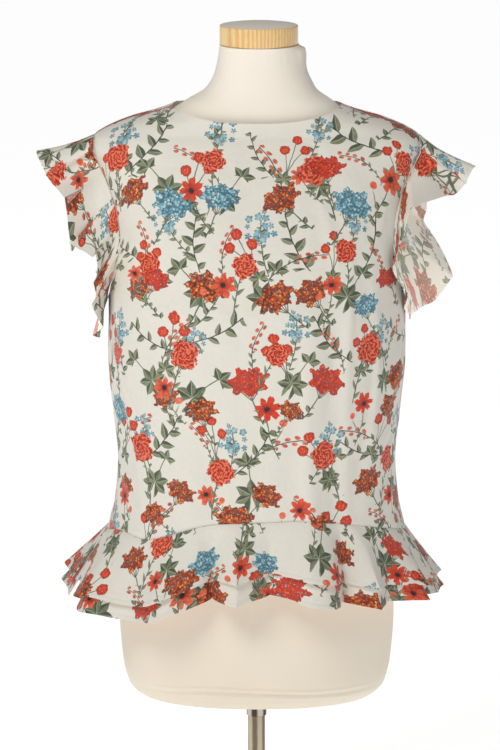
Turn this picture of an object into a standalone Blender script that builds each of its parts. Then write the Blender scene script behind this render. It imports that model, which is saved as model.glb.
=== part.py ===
"""A flutter-sleeve blouse with a two-tier peplum, worn on a limbless dress form on its stand.

Lengths are in millimetres and become metres when a mesh is made. The part stands on z = 0, its front
faces -Y and its left-hand side, as seen from the front, is -X. Heights in the tables are measured
from the hip datum, 12 mm above the torso's underside.
"""

import math
from collections import namedtuple

import bmesh
import bpy
from mathutils import Matrix, Vector

MM = 0.001

# Stand
BASE_RADIUS = 140.0
BASE_THICKNESS = 10.0
BASE_EASE = 2.5
POLE_RADIUS = 10.4
SLEEVE_RADIUS = 12.2
SLEEVE_LENGTH = 30.0
HIP_HEIGHT = 210.0
TORSO_HEIGHT = 198.0
TORSO_CURVE_TOP = 60.0
TORSO_SHOULDER_LOW = 640.0
TORSO_ROWS = 24
TORSO_COLUMNS = 32
FACE_GAP = 0.3

# Wooden neck cap
CAP_RADIUS = 46.5
CAP_HEIGHT = 28.0
CAP_DOME = 5.0
CAP_EASE = 2.0
CAP_FULLNESS = 2.5
CAP_STEPS = 6

# Cloth
CLOTH_THICKNESS = 1.2
SEAM_HALF_GAP = 0.45
ROUNDNESS = 2.4

# Bodice
HEM_SIDE_HEIGHT = 191.0
HEM_FRONT_HEIGHT = 231.0
HEM_BACK_HEIGHT = 200.0
UNDERARM_HEIGHT = 471.0
SHOULDER_TIP_WIDTH = 193.0
NECK_POINT_WIDTH = 100.0
NECK_FRONT_HEIGHT = 691.5
NECK_BACK_HEIGHT = 699.5
NECK_CURVE = 2.6
ARMHOLE_SCOOP = math.radians(28)
SCOOP_LEAN = 0.9
SCOOP_FULLNESS = 0.95
SHOULDER_HOLD = 120.0
SIDE_SEAM_ROWS = 6
ARMHOLE_ROWS = 10
NECK_COLUMNS = 8
SHOULDER_COLUMNS = 4
ROW_CROWDING = 1.25

# Keyhole at the back neck, with its button and thread loop
KEYHOLE_LENGTH = 90.0
KEYHOLE_EDGE = 1.5
KEYHOLE_SWELL = 3.5
BUTTON_RADIUS = 5.5
BUTTON_THICKNESS = 2.2
BUTTON_SIDE = -8.5
BUTTON_DROP = 6.5
BUTTON_RIM = 1.6
BUTTON_EASE = 0.5
BUTTON_DISH = 0.6
BUTTON_LIFT = 0.5
LOOP_RADIUS = 0.6
LOOP_OPENING = 120.0
LOOP_STEPS = 12
LOOP_WAIST = (10.0, 3.6)
LOOP_END = (14.0, 1.6)

# Flutter sleeves and peplum
SLEEVE_COLUMNS = 72
SLEEVE_ROWS = 3
PEPLUM_COLUMNS = 58
PEPLUM_ROWS = 3
TIER_STEP = 2.8
FOLD_OPENING = 1.2

Section = namedtuple("Section", "height half_width front back")
Flounce = namedtuple("Flounce", "along depth drop turn")
Tier = namedtuple("Tier", "angle depth flare")
Fold = namedtuple("Fold", "at width lift")
BodyFold = namedtuple("BodyFold", "angle width low high lift")

FORM_SECTIONS = [
    Section(-12, 126, 88, 88),
    Section(-7, 142, 103, 101),
    Section(6, 155, 115, 113),
    Section(34, 162, 122, 120),
    Section(90, 166, 130, 127),
    Section(170, 158, 126, 121),
    Section(240, 138, 108, 104),
    Section(300, 122, 94, 90),
    Section(360, 126, 100, 94),
    Section(430, 140, 124, 104),
    Section(480, 148, 138, 108),
    Section(530, 152, 130, 111),
    Section(580, 158, 110, 111),
    Section(620, 167, 90, 104),
    Section(644, 176, 74, 92),
    Section(659, 179, 62, 81),
    Section(669, 173, 56, 74),
    Section(681, 146, 52, 69),
    Section(689, 122, 50, 66),
    Section(699, 104, 50, 64),
    Section(707, 91, 49, 62),
    Section(712, 84.5, 49, 61.5),
    Section(716, 77, 48.5, 61),
    Section(720, 70, 48, 60),
    Section(725, 63.5, 48, 58),
    Section(748, 52, 47, 54),
    Section(778, 47, 45, 48),
]

BLOUSE_SECTIONS = [
    Section(150, 186, 152, 134),
    Section(191, 180, 150, 132),
    Section(231, 171, 149, 127),
    Section(282, 167, 149, 122),
    Section(340, 172, 150, 118),
    Section(410, 178, 152, 117),
    Section(471, 177, 151, 118),
    Section(500, 177, 146, 119),
    Section(540, 178, 138, 120),
    Section(580, 180, 124, 119),
    Section(620, 185, 103, 112),
    Section(645, 193, 87, 103),
    Section(658, 198, 78, 95),
    Section(669, 194, 70, 89),
    Section(677, 183, 64, 84),
    Section(690, 153, 59, 77),
    Section(698, 124, 57, 73),
    Section(707, 100, 55, 70),
    Section(719, 82, 53, 66),
]

BODY_FOLDS = [
    BodyFold(-66, 7, 250, 420, -4),
    BodyFold(-52, 6, 190, 330, 4),
    BodyFold(-20, 6, 190, 380, -3),
    BodyFold(24, 5, 200, 520, 4),
    BodyFold(35, 5, 190, 560, -4),
    BodyFold(58, 7, 230, 440, 4),
    BodyFold(130, 8, 190, 420, 4),
    BodyFold(157, 7, 190, 360, -3),
    BodyFold(196, 8, 190, 400, 4),
    BodyFold(232, 7, 190, 340, -3),
]

WAIST_SAGS = [
    Fold(-44, 20, -22),
    Fold(14, 10, 3),
]

# Around the armhole from the underarm, up the front to the shoulder tip at 0.5, and down the back
SLEEVE_FLOUNCE = {
    "left": [
        Flounce(0.00, 47, 79, 0),
        Flounce(0.05, 51, 78, 4),
        Flounce(0.10, 49, 71, 12),
        Flounce(0.15, 47, 65, 20),
        Flounce(0.20, 48, 58, 26),
        Flounce(0.26, 50, 52, 28),
        Flounce(0.325, 78, 44, 14),
        Flounce(0.385, 56, 44, 26),
        Flounce(0.42, 58, 36, 20),
        Flounce(0.46, 65, 27, 10),
        Flounce(0.50, 71, 19, 0),
        Flounce(0.56, 66, 26, -25),
        Flounce(0.64, 58, 38, -48),
        Flounce(0.76, 54, 48, -52),
        Flounce(0.88, 48, 66, -30),
        Flounce(1.00, 47, 79, 0),
    ],
    "right": [
        Flounce(0.00, 24, 80, 0),
        Flounce(0.08, 28, 80, 20),
        Flounce(0.14, 32, 76, 44),
        Flounce(0.20, 38, 68, 76),
        Flounce(0.28, 44, 60, 92),
        Flounce(0.345, 46, 53, 90),
        Flounce(0.39, 50, 44, 68),
        Flounce(0.42, 58, 37, 36),
        Flounce(0.455, 68, 35, 12),
        Flounce(0.50, 74, 33, 0),
        Flounce(0.56, 66, 37, -30),
        Flounce(0.62, 58, 42, -56),
        Flounce(0.71, 62, 45, -40),
        Flounce(0.79, 98, 42, -6),
        Flounce(0.85, 82, 48, -4),
        Flounce(0.92, 48, 66, -6),
        Flounce(1.00, 24, 80, 0),
    ],
}

SLEEVE_FOLDS = {
    "left": [
        Fold(0.045, 0.022, 7),
        Fold(0.095, 0.02, -8),
        Fold(0.145, 0.022, 8),
        Fold(0.20, 0.022, 10),
        Fold(0.26, 0.022, -19),
        Fold(0.325, 0.022, 24),
        Fold(0.385, 0.023, -22),
        Fold(0.44, 0.03, 8),
        Fold(0.51, 0.02, -4),
        Fold(0.57, 0.028, 11),
        Fold(0.635, 0.028, -14),
        Fold(0.70, 0.028, 14),
        Fold(0.77, 0.03, -12),
        Fold(0.84, 0.028, 11),
        Fold(0.90, 0.026, -6),
    ],
    "right": [
        Fold(0.10, 0.026, -4),
        Fold(0.16, 0.026, 5),
        Fold(0.23, 0.026, -5),
        Fold(0.30, 0.026, 8),
        Fold(0.365, 0.024, -14),
        Fold(0.425, 0.022, 13),
        Fold(0.477, 0.02, -11),
        Fold(0.53, 0.022, 9),
        Fold(0.60, 0.028, -14),
        Fold(0.67, 0.028, 11),
        Fold(0.735, 0.026, -9),
        Fold(0.80, 0.026, 11),
        Fold(0.87, 0.026, -8),
    ],
}

# Angle 0 is the front centre, 90 the right side, 180 the back centre
PEPLUM_TIERS = {
    "upper": [
        Tier(-90, 78, 36),
        Tier(-72, 84, 31),
        Tier(-55, 84, 26),
        Tier(-25, 74, 19),
        Tier(-14, 67, 17),
        Tier(-5, 69, 18),
        Tier(3, 64, 17),
        Tier(20, 70, 20),
        Tier(30, 69, 19),
        Tier(40, 74, 21),
        Tier(60, 73, 27),
        Tier(90, 71, 33),
        Tier(105, 76, 29),
        Tier(130, 80, 25),
        Tier(180, 78, 20),
        Tier(225, 80, 28),
        Tier(250, 80, 41),
        Tier(270, 78, 36),
    ],
    "lower": [
        Tier(-90, 98, 31),
        Tier(-72, 104, 25),
        Tier(-55, 102, 21),
        Tier(-25, 96, 16),
        Tier(-14, 90, 14),
        Tier(-5, 96, 15),
        Tier(3, 88, 14),
        Tier(20, 99, 17),
        Tier(30, 92, 15),
        Tier(40, 97, 18),
        Tier(60, 91, 23),
        Tier(90, 89, 29),
        Tier(105, 95, 26),
        Tier(130, 101, 21),
        Tier(180, 99, 17),
        Tier(225, 101, 24),
        Tier(250, 100, 36),
        Tier(270, 98, 31),
    ],
}

PEPLUM_FOLDS = [
    Fold(-84, 6, -15),
    Fold(-66, 8, 12),
    Fold(-47, 6, -9),
    Fold(-32, 8, 14),
    Fold(-14, 5, -18),
    Fold(-5, 4, 15),
    Fold(3, 4, -15),
    Fold(20, 6, 17),
    Fold(31, 3.6, -25),
    Fold(41, 5, 19),
    Fold(53, 6, -14),
    Fold(65, 6, 14),
    Fold(78, 6, -14),
    Fold(101, 6, 12),
    Fold(118, 6, -13),
    Fold(132, 7, 13),
    Fold(147, 6, -12),
    Fold(161, 6, 13),
    Fold(175, 6, -12),
    Fold(190, 7, 13),
    Fold(206, 6, -12),
    Fold(221, 7, 12),
    Fold(237, 6, -13),
    Fold(254, 6, 13),
]


def slope_between(rows, index, column):
    """Steepness of a table's column at a row, level where the column turns back."""
    if index in (0, len(rows) - 1):
        return 0.0
    before, here, after = rows[index - 1], rows[index], rows[index + 1]
    rise_in = (getattr(here, column) - getattr(before, column)) / (here[0] - before[0])
    rise_out = (getattr(after, column) - getattr(here, column)) / (after[0] - here[0])
    if rise_in * rise_out <= 0:
        return 0.0
    return 2 * rise_in * rise_out / (rise_in + rise_out)


def read_table(rows, place, column):
    """A column's value at a place in the table's first column, on a smooth curve through the rows."""
    place = min(max(place, rows[0][0]), rows[-1][0])
    index = max(i for i in range(len(rows) - 1) if rows[i][0] <= place)
    low, high = rows[index], rows[index + 1]
    span = high[0] - low[0]
    t = (place - low[0]) / span
    start, end = getattr(low, column), getattr(high, column)
    start_slope = slope_between(rows, index, column) * span
    end_slope = slope_between(rows, index + 1, column) * span
    ease = t * t * (3 - 2 * t)
    return (start + (end - start) * ease + start_slope * t * (1 - t) ** 2
            - end_slope * t * t * (1 - t))


def smooth_step(t):
    t = min(max(t, 0.0), 1.0)
    return t * t * (3 - 2 * t)


def rounded_power(value):
    """Signed power that turns an ellipse into the squarer section of a torso."""
    return math.copysign(abs(value) ** (2 / ROUNDNESS), value)


def ring_point(rows, angle, height):
    """Point of a horizontal section, at an angle from the front centre."""
    side = "front" if math.cos(angle) >= 0 else "back"
    x = read_table(rows, height, "half_width") * rounded_power(math.sin(angle))
    y = -read_table(rows, height, side) * rounded_power(math.cos(angle))
    return Vector((x, y, height))


def fold_lift(folds, place):
    """Sum of the soft ridges and troughs of a fold table at a place."""
    return sum(fold.lift * math.exp(-((place - fold.at) / fold.width) ** 2) for fold in folds)


def body_fold_lift(angle, height):
    """Depth of the body's vertical folds, which fade out at both ends."""
    lift = 0.0
    for fold in BODY_FOLDS:
        share = (height - fold.low) / (fold.high - fold.low)
        if share < 1:
            fade = smooth_step(3 * (1 - share))
            lift += fold.lift * fade * math.exp(-((angle - fold.angle) / fold.width) ** 2)
    return lift


def shoulder_height(half_width):
    """Height on the shoulder slope at which the blouse is this wide."""
    low, high = 666.0, 719.0
    for _ in range(40):
        middle = (low + high) / 2
        if read_table(BLOUSE_SECTIONS, middle, "half_width") > half_width:
            low = middle
        else:
            high = middle
    return low


SHOULDER_TIP_HEIGHT = shoulder_height(SHOULDER_TIP_WIDTH)
NECK_POINT_HEIGHT = shoulder_height(NECK_POINT_WIDTH)


def top_edge_height(side, x):
    """Height of a panel's top edge: the neckline, then the shoulder seam."""
    if x >= NECK_POINT_WIDTH:
        return shoulder_height(x)
    centre = NECK_FRONT_HEIGHT if side == "front" else NECK_BACK_HEIGHT
    return centre + (NECK_POINT_HEIGHT - centre) * (x / NECK_POINT_WIDTH) ** NECK_CURVE


def hem_height(side, across):
    """Height of the waist seam, which the bust lifts at the front and which sags to one side of it."""
    turn = across * math.pi / 2
    if side == "back":
        return HEM_SIDE_HEIGHT + (HEM_BACK_HEIGHT - HEM_SIDE_HEIGHT) * math.cos(turn)
    level = HEM_SIDE_HEIGHT + (HEM_FRONT_HEIGHT - HEM_SIDE_HEIGHT) * math.cos(turn)
    return level + fold_lift(WAIST_SAGS, math.degrees(turn)) * math.cos(turn)


def edge_angle(height):
    """Angle of a panel's side edge: the side seam, then the armhole's scoop."""
    share = (height - UNDERARM_HEIGHT) / (SHOULDER_TIP_HEIGHT - UNDERARM_HEIGHT)
    if share <= 0 or share >= 1:
        return math.pi / 2
    return math.pi / 2 - ARMHOLE_SCOOP * math.sin(math.pi * share ** SCOOP_LEAN) ** SCOOP_FULLNESS


def keyhole_half_width(height):
    """Half the keyhole's width, a teardrop below the button."""
    share = (NECK_BACK_HEIGHT - height) / KEYHOLE_LENGTH
    if not 0 < share < 1:
        return KEYHOLE_EDGE
    return KEYHOLE_EDGE + KEYHOLE_SWELL * math.sin(math.pi * share) ** 2


def top_edge_x(reach):
    """Distance from the centre along a panel's top edge, with the neckline's points crowded at its ends."""
    neck_reach = NECK_COLUMNS / (NECK_COLUMNS + SHOULDER_COLUMNS)
    if reach < neck_reach:
        return NECK_POINT_WIDTH * math.sin(reach / neck_reach * math.pi / 2)
    share = (reach - neck_reach) / (1 - neck_reach)
    return NECK_POINT_WIDTH + (SHOULDER_TIP_WIDTH - NECK_POINT_WIDTH) * share


def bodice_point(side, across, rise):
    """Point of a bodice panel: across is -1 to 1, rise is 0 at the waist seam and 1 at the top."""
    reach = abs(across)
    top_x = top_edge_x(reach)
    top = top_edge_height(side, top_x)
    hem = hem_height(side, across)
    height = hem + (top - hem) * rise
    edge_height = HEM_SIDE_HEIGHT + (SHOULDER_TIP_HEIGHT - HEM_SIDE_HEIGHT) * rise
    half_width = read_table(BLOUSE_SECTIONS, height, "half_width")
    side_edge = edge_angle(edge_height)
    ring_x = half_width * rounded_power(math.sin(reach * side_edge))
    hold = 1 - smooth_step((top - height) / SHOULDER_HOLD)
    x = min(ring_x + (top_x - ring_x) * hold, half_width * rounded_power(math.sin(side_edge)))
    depth = read_table(BLOUSE_SECTIONS, height, side)
    fullness = (1 - min(x / half_width, 1) ** ROUNDNESS) ** (1 / ROUNDNESS)
    out = depth * fullness
    turn = math.degrees(math.atan2(x, out))
    angle = math.copysign(turn, across) if side == "front" else 180 - math.copysign(turn, across)
    out = max(out + body_fold_lift(angle, height) * fullness, SEAM_HALF_GAP)
    x = math.copysign(x, across)
    return Vector((x, -out if side == "front" else out, height))


def armhole_points(hand):
    """Points round an armhole at even spacing, from the underarm up the front and down the back."""
    across = -1 if hand == "left" else 1
    steps = 80
    edge = []
    for side, order in (("front", range(steps + 1)), ("back", range(steps, -1, -1))):
        for step in order:
            height = UNDERARM_HEIGHT + (SHOULDER_TIP_HEIGHT - UNDERARM_HEIGHT) * step / steps
            rise = (height - HEM_SIDE_HEIGHT) / (SHOULDER_TIP_HEIGHT - HEM_SIDE_HEIGHT)
            edge.append(bodice_point(side, across, rise))
    lengths = [0.0]
    for before, after in zip(edge, edge[1:]):
        lengths.append(lengths[-1] + (after - before).length)
    spaced = []
    for column in range(SLEEVE_COLUMNS):
        target = lengths[-1] * (column + 0.5) / SLEEVE_COLUMNS
        index = max(i for i in range(len(edge) - 1) if lengths[i] <= target)
        share = (target - lengths[index]) / (lengths[index + 1] - lengths[index])
        spaced.append(edge[index].lerp(edge[index + 1], share))
    return spaced


def sleeve_rows(hand):
    """Rows of a flutter sleeve, from its armhole seam to its free edge."""
    outward = -1 if hand == "left" else 1
    seam = armhole_points(hand)
    rows = [[] for _ in range(SLEEVE_ROWS + 1)]
    for column, base in enumerate(seam):
        along = (column + 0.5) / SLEEVE_COLUMNS
        drop = math.radians(read_table(SLEEVE_FLOUNCE[hand], along, "drop"))
        turn = math.radians(read_table(SLEEVE_FLOUNCE[hand], along, "turn"))
        depth = read_table(SLEEVE_FLOUNCE[hand], along, "depth")
        ahead = Vector((outward * math.cos(turn), -math.sin(turn), 0))
        fall = ahead * math.cos(drop) - Vector((0, 0, math.sin(drop)))
        along_seam = seam[(column + 1) % len(seam)] - seam[column - 1]
        face = along_seam.cross(fall).normalized() * outward
        clear = ahead * (2 * SEAM_HALF_GAP + 1.5 * CLOTH_THICKNESS * math.sin(drop))
        lift = fold_lift(SLEEVE_FOLDS[hand], along)
        for row in range(SLEEVE_ROWS + 1):
            share = row / SLEEVE_ROWS
            rows[row].append(base + clear + fall * depth * share + face * lift * share ** FOLD_OPENING)
    return rows


def tier_fall(tier, angle, along):
    """How far a tier stands out from the waist seam, and how far it falls, at a distance down its cloth."""
    stations = PEPLUM_TIERS[tier]
    flare = math.radians(read_table(stations, angle, "flare"))
    share = along / read_table(stations, angle, "depth")
    out = along * math.sin(flare) + fold_lift(PEPLUM_FOLDS, angle) * share ** FOLD_OPENING
    return out, along * math.cos(flare)


def lower_tier_limit(angle, fall):
    """How far out the lower tier may stand at a fall so that it stays under the upper one."""
    upper = PEPLUM_TIERS["upper"]
    depth = read_table(upper, angle, "depth")
    flare = math.radians(read_table(upper, angle, "flare"))
    out, _ = tier_fall("upper", angle, min(fall / math.cos(flare), depth))
    past_hem = max(fall - depth * math.cos(flare), 0)
    return out + past_hem * math.tan(flare)


def peplum_rows(side, tier):
    """Rows of a peplum piece, from its hem up to the waist seam."""
    first = -90 if side == "front" else 90
    rows = [[] for _ in range(PEPLUM_ROWS + 1)]
    for column in range(PEPLUM_COLUMNS + 1):
        share_across = 2 * column / PEPLUM_COLUMNS - 1
        across = share_across if side == "front" else -share_across
        seam = bodice_point(side, across, 0)
        nearby = bodice_point(side, across * 0.98 + 0.01, 0) - bodice_point(side, across * 0.98 - 0.01, 0)
        outward = Vector((-nearby.y, nearby.x, 0)).normalized()
        if outward.dot(Vector((seam.x, seam.y, 0))) < 0:
            outward = -outward
        if abs(across) == 1:
            outward = Vector((across, 0, 0))
        angle = first + 180 * column / PEPLUM_COLUMNS
        depth = read_table(PEPLUM_TIERS[tier], angle, "depth")
        for row in range(PEPLUM_ROWS + 1):
            out, fall = tier_fall(tier, angle, depth * (1 - row / PEPLUM_ROWS))
            if tier == "lower":
                out = min(out, lower_tier_limit(angle, fall)) - TIER_STEP
            rows[row].append(seam + outward * out - Vector((0, 0, fall + 2 * SEAM_HALF_GAP)))
    return rows


def mesh_object(name, mesh_builder, material, collection):
    """Object that takes over a bmesh, linked to the part's collection."""
    mesh = bpy.data.meshes.new(name)
    mesh_builder.to_mesh(mesh)
    mesh_builder.free()
    piece = bpy.data.objects.new(name, mesh)
    piece.data.materials.append(material)
    collection.objects.link(piece)
    return piece


def smooth_shaded(piece, corner=50):
    piece.data.shade_smooth()
    piece.data.set_sharp_from_angle(angle=math.radians(corner))
    return piece


def to_metres(point):
    """Millimetres about the hip datum to metres above the ground."""
    return Vector((point.x, point.y, point.z + HIP_HEIGHT)) * MM


def cloth_piece(name, rows, material, collection, wrapped=False, open_cell=None):
    """Thin wall on a grid of points, with its outer face on the grid."""
    grid = bmesh.new()
    corners = [[grid.verts.new(to_metres(point)) for point in row] for row in rows]
    last = len(rows[0]) if wrapped else len(rows[0]) - 1
    for row in range(len(rows) - 1):
        for column in range(last):
            if open_cell and open_cell(row, column):
                continue
            after = (column + 1) % len(rows[0])
            grid.faces.new((corners[row][column], corners[row][after],
                            corners[row + 1][after], corners[row + 1][column]))
    piece = mesh_object(name, grid, material, collection)
    wall = piece.modifiers.new("wall", "SOLIDIFY")
    wall.thickness = CLOTH_THICKNESS * MM
    wall.offset = -1
    return smooth_shaded(piece)


def row_rises():
    """Places of the rows up a panel, crowded at the underarm and under the top edge."""
    underarm = (UNDERARM_HEIGHT - HEM_SIDE_HEIGHT) / (SHOULDER_TIP_HEIGHT - HEM_SIDE_HEIGHT)
    rises = [underarm * row / SIDE_SEAM_ROWS for row in range(SIDE_SEAM_ROWS + 1)]
    for row in range(1, ARMHOLE_ROWS + 1):
        remaining = (1 + math.cos(math.pi * row / ARMHOLE_ROWS)) / 2
        rises.append(1 - (1 - underarm) * remaining ** ROW_CROWDING)
    return rises


def build_bodice(side, material, collection):
    """Front or back panel; the back has a keyhole below its neckline."""
    half = NECK_COLUMNS + SHOULDER_COLUMNS
    steps = [column / half for column in range(-half, half + 1)]
    if side == "back":
        steps.reverse()
    rows = []
    for rise in row_rises():
        line = []
        for step in steps:
            point = bodice_point(side, step, rise)
            if side == "back" and step == 0:
                edge = keyhole_half_width(point.z)
                line.append(Vector((edge, point.y, point.z)))
                point.x = -edge
            line.append(point)
        rows.append(line)

    def in_keyhole(row, column):
        centre_height = rows[row][half].z
        return column == half and centre_height > NECK_BACK_HEIGHT - KEYHOLE_LENGTH

    return cloth_piece(side + "_bodice", rows, material, collection,
                       open_cell=in_keyhole if side == "back" else None)


def build_sleeve(hand, material, collection):
    rows = sleeve_rows(hand)
    if hand == "left":
        rows.reverse()
    return cloth_piece("sleeve_" + hand, rows, material, collection, wrapped=True)


def build_peplum(side, tier, material, collection):
    name = "peplum_" + tier + "_" + side
    return cloth_piece(name, peplum_rows(side, tier), material, collection)


def build_torso(material, collection):
    """Closed body lofted through the form's horizontal sections."""
    top = FORM_SECTIONS[-1].height
    heights = []
    for section in FORM_SECTIONS:
        if section.height < TORSO_CURVE_TOP or section.height > TORSO_SHOULDER_LOW:
            heights.append(section.height)
    for step in range(TORSO_ROWS + 1):
        height = top * step / TORSO_ROWS
        if TORSO_CURVE_TOP <= height <= TORSO_SHOULDER_LOW:
            heights.append(height)
    heights.sort()
    body = bmesh.new()
    rings = []
    for height in heights:
        ring = []
        for step in range(TORSO_COLUMNS):
            point = ring_point(FORM_SECTIONS, 2 * math.pi * step / TORSO_COLUMNS, height)
            ring.append(body.verts.new(to_metres(point)))
        rings.append(ring)
    for low, high in zip(rings, rings[1:]):
        for step in range(TORSO_COLUMNS):
            after = (step + 1) % TORSO_COLUMNS
            body.faces.new((low[step], low[after], high[after], high[step]))
    body.faces.new(list(reversed(rings[0])))
    body.faces.new(rings[-1])
    return smooth_shaded(mesh_object("form_torso", body, material, collection))


def turned_piece(name, profile, material, collection, steps=36):
    """Solid of revolution about the pole's axis from a profile of (radius, height), top to bottom."""
    line = bmesh.new()
    corners = [line.verts.new((radius * MM, 0, height * MM)) for radius, height in profile]
    for upper, lower in zip(corners, corners[1:]):
        line.edges.new((upper, lower))
    if profile[0][0] > 0:
        line.edges.new((corners[-1], corners[0]))
    piece = mesh_object(name, line, material, collection)
    screw = piece.modifiers.new("turn", "SCREW")
    screw.steps = steps
    screw.render_steps = steps
    screw.use_merge_vertices = True
    screw.merge_threshold = 0.00001
    return piece


def build_cap(material, collection):
    """Wooden cap with a low dome and eased edges."""
    low = HIP_HEIGHT + FORM_SECTIONS[-1].height + FACE_GAP
    high = low + CAP_HEIGHT
    flat = CAP_RADIUS - CAP_EASE
    profile = []
    for step in range(CAP_STEPS + 1):
        share = step / CAP_STEPS
        profile.append((flat * share, high - CAP_DOME * share ** CAP_FULLNESS))
    profile += [(CAP_RADIUS, high - CAP_DOME - CAP_EASE), (CAP_RADIUS, low + CAP_EASE), (flat, low), (0, low)]
    return turned_piece("neck_cap", profile, material, collection)


def build_stand(metal, collection):
    """Round base plate, pole and the sleeve that grips the pole under the torso."""
    turned_piece("base_plate", [
        (0, BASE_THICKNESS), (BASE_RADIUS - BASE_EASE, BASE_THICKNESS),
        (BASE_RADIUS, BASE_THICKNESS - BASE_EASE), (BASE_RADIUS, 0), (0, 0)],
        metal["base"], collection, steps=56)
    turned_piece("pole", [
        (0, TORSO_HEIGHT - FACE_GAP), (POLE_RADIUS, TORSO_HEIGHT - FACE_GAP),
        (POLE_RADIUS, BASE_THICKNESS + FACE_GAP), (0, BASE_THICKNESS + FACE_GAP)],
        metal["pole"], collection, steps=24)
    bore = POLE_RADIUS + FACE_GAP
    high = TORSO_HEIGHT - FACE_GAP
    low = high - SLEEVE_LENGTH
    turned_piece("pole_sleeve", [
        (bore, high), (SLEEVE_RADIUS, high), (SLEEVE_RADIUS, low), (bore, low)],
        metal["sleeve"], collection, steps=24)


def fastening_frame():
    """Place of the button on the back panel: sideways, up along the cloth, and outwards."""
    across = BUTTON_SIDE / SHOULDER_TIP_WIDTH
    height = NECK_BACK_HEIGHT - BUTTON_DROP
    low = ring_point(BLOUSE_SECTIONS, math.pi - across, height - BUTTON_RADIUS / 2)
    high = ring_point(BLOUSE_SECTIONS, math.pi - across, height + BUTTON_RADIUS / 2)
    up = (high - low).normalized()
    up.x = 0
    up.normalize()
    sideways = Vector((1, 0, 0))
    outwards = up.cross(sideways).normalized()
    if outwards.y < 0:
        outwards = -outwards
    middle = (low + high) / 2
    place = to_metres(Vector((BUTTON_SIDE, middle.y, height)))
    turn = Matrix((sideways, up, outwards)).transposed().to_4x4()
    return Matrix.Translation(place) @ turn


def build_button(material, collection):
    """Round button with a shallow dish, lying on the cloth beside the keyhole."""
    low = BUTTON_LIFT
    high = low + BUTTON_THICKNESS
    dish = high - BUTTON_DISH
    profile = [(0, dish), (BUTTON_RADIUS - 2 * BUTTON_RIM, dish), (BUTTON_RADIUS - BUTTON_RIM, high),
               (BUTTON_RADIUS - BUTTON_EASE, high), (BUTTON_RADIUS, high - BUTTON_EASE),
               (BUTTON_RADIUS, low + BUTTON_EASE), (BUTTON_RADIUS - BUTTON_EASE, low), (0, low)]
    button = turned_piece("button", profile, material, collection, steps=28)
    button.matrix_world = fastening_frame()
    return button


def build_loop(material, collection):
    """Thread loop from the keyhole's other edge round the button."""
    height = BUTTON_LIFT + LOOP_RADIUS
    reach = BUTTON_RADIUS + LOOP_RADIUS + BUTTON_LIFT
    points = [LOOP_END, LOOP_WAIST]
    for step in range(LOOP_STEPS + 1):
        angle = math.radians(LOOP_OPENING / 2 + (360 - LOOP_OPENING) * step / LOOP_STEPS)
        points.append((reach * math.cos(angle), reach * math.sin(angle)))
    points += [(LOOP_WAIST[0], -LOOP_WAIST[1]), (LOOP_END[0], -LOOP_END[1])]
    curve = bpy.data.curves.new("button_loop", "CURVE")
    curve.dimensions = "3D"
    curve.bevel_depth = LOOP_RADIUS * MM
    curve.bevel_resolution = 2
    curve.use_fill_caps = True
    line = curve.splines.new("POLY")
    line.points.add(len(points) - 1)
    for corner, (x, y) in zip(line.points, points):
        corner.co = (x * MM, y * MM, height * MM, 1)
    loop = bpy.data.objects.new("button_loop", curve)
    loop.data.materials.append(material)
    loop.matrix_world = fastening_frame()
    collection.objects.link(loop)
    return loop


def make_material(name, colour, roughness, metallic=0.0):
    material = bpy.data.materials.new(name)
    material.use_nodes = True
    shader = material.node_tree.nodes["Principled BSDF"]
    shader.inputs["Base Color"].default_value = (*colour, 1)
    shader.inputs["Roughness"].default_value = roughness
    shader.inputs["Metallic"].default_value = metallic
    return material


def main():
    for item in list(bpy.data.objects):
        bpy.data.objects.remove(item, do_unlink=True)
    collection = bpy.data.collections.new("blouse_on_dress_form")
    bpy.context.scene.collection.children.link(collection)

    for side in ("front", "back"):
        cloth = make_material(side + "_bodice", (0.74, 0.68, 0.62), 0.75)
        build_bodice(side, cloth, collection)
        for tier in ("upper", "lower"):
            cloth = make_material("peplum_" + tier + "_" + side, (0.72, 0.64, 0.58), 0.75)
            build_peplum(side, tier, cloth, collection)
    for hand in ("left", "right"):
        cloth = make_material("sleeve_" + hand, (0.74, 0.66, 0.60), 0.75)
        build_sleeve(hand, cloth, collection)
    build_button(make_material("button", (0.80, 0.78, 0.74), 0.3), collection)
    build_loop(make_material("button_loop", (0.76, 0.73, 0.69), 0.7), collection)

    build_torso(make_material("form_torso", (0.80, 0.74, 0.64), 0.85), collection)
    build_cap(make_material("neck_cap", (0.66, 0.44, 0.22), 0.35), collection)
    metal = {
        "base": make_material("base_plate", (0.62, 0.60, 0.57), 0.4, 1.0),
        "pole": make_material("pole", (0.66, 0.63, 0.58), 0.3, 1.0),
        "sleeve": make_material("pole_sleeve", (0.42, 0.40, 0.37), 0.2, 1.0),
    }
    build_stand(metal, collection)


main()
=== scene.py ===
from bisect import bisect_right
from itertools import accumulate
from math import atan2, copysign, cos, degrees, dist, exp, hypot, pi, radians, sin, sqrt, tan

import bmesh
import bpy
from mathutils import Matrix, Vector, noise


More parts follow.
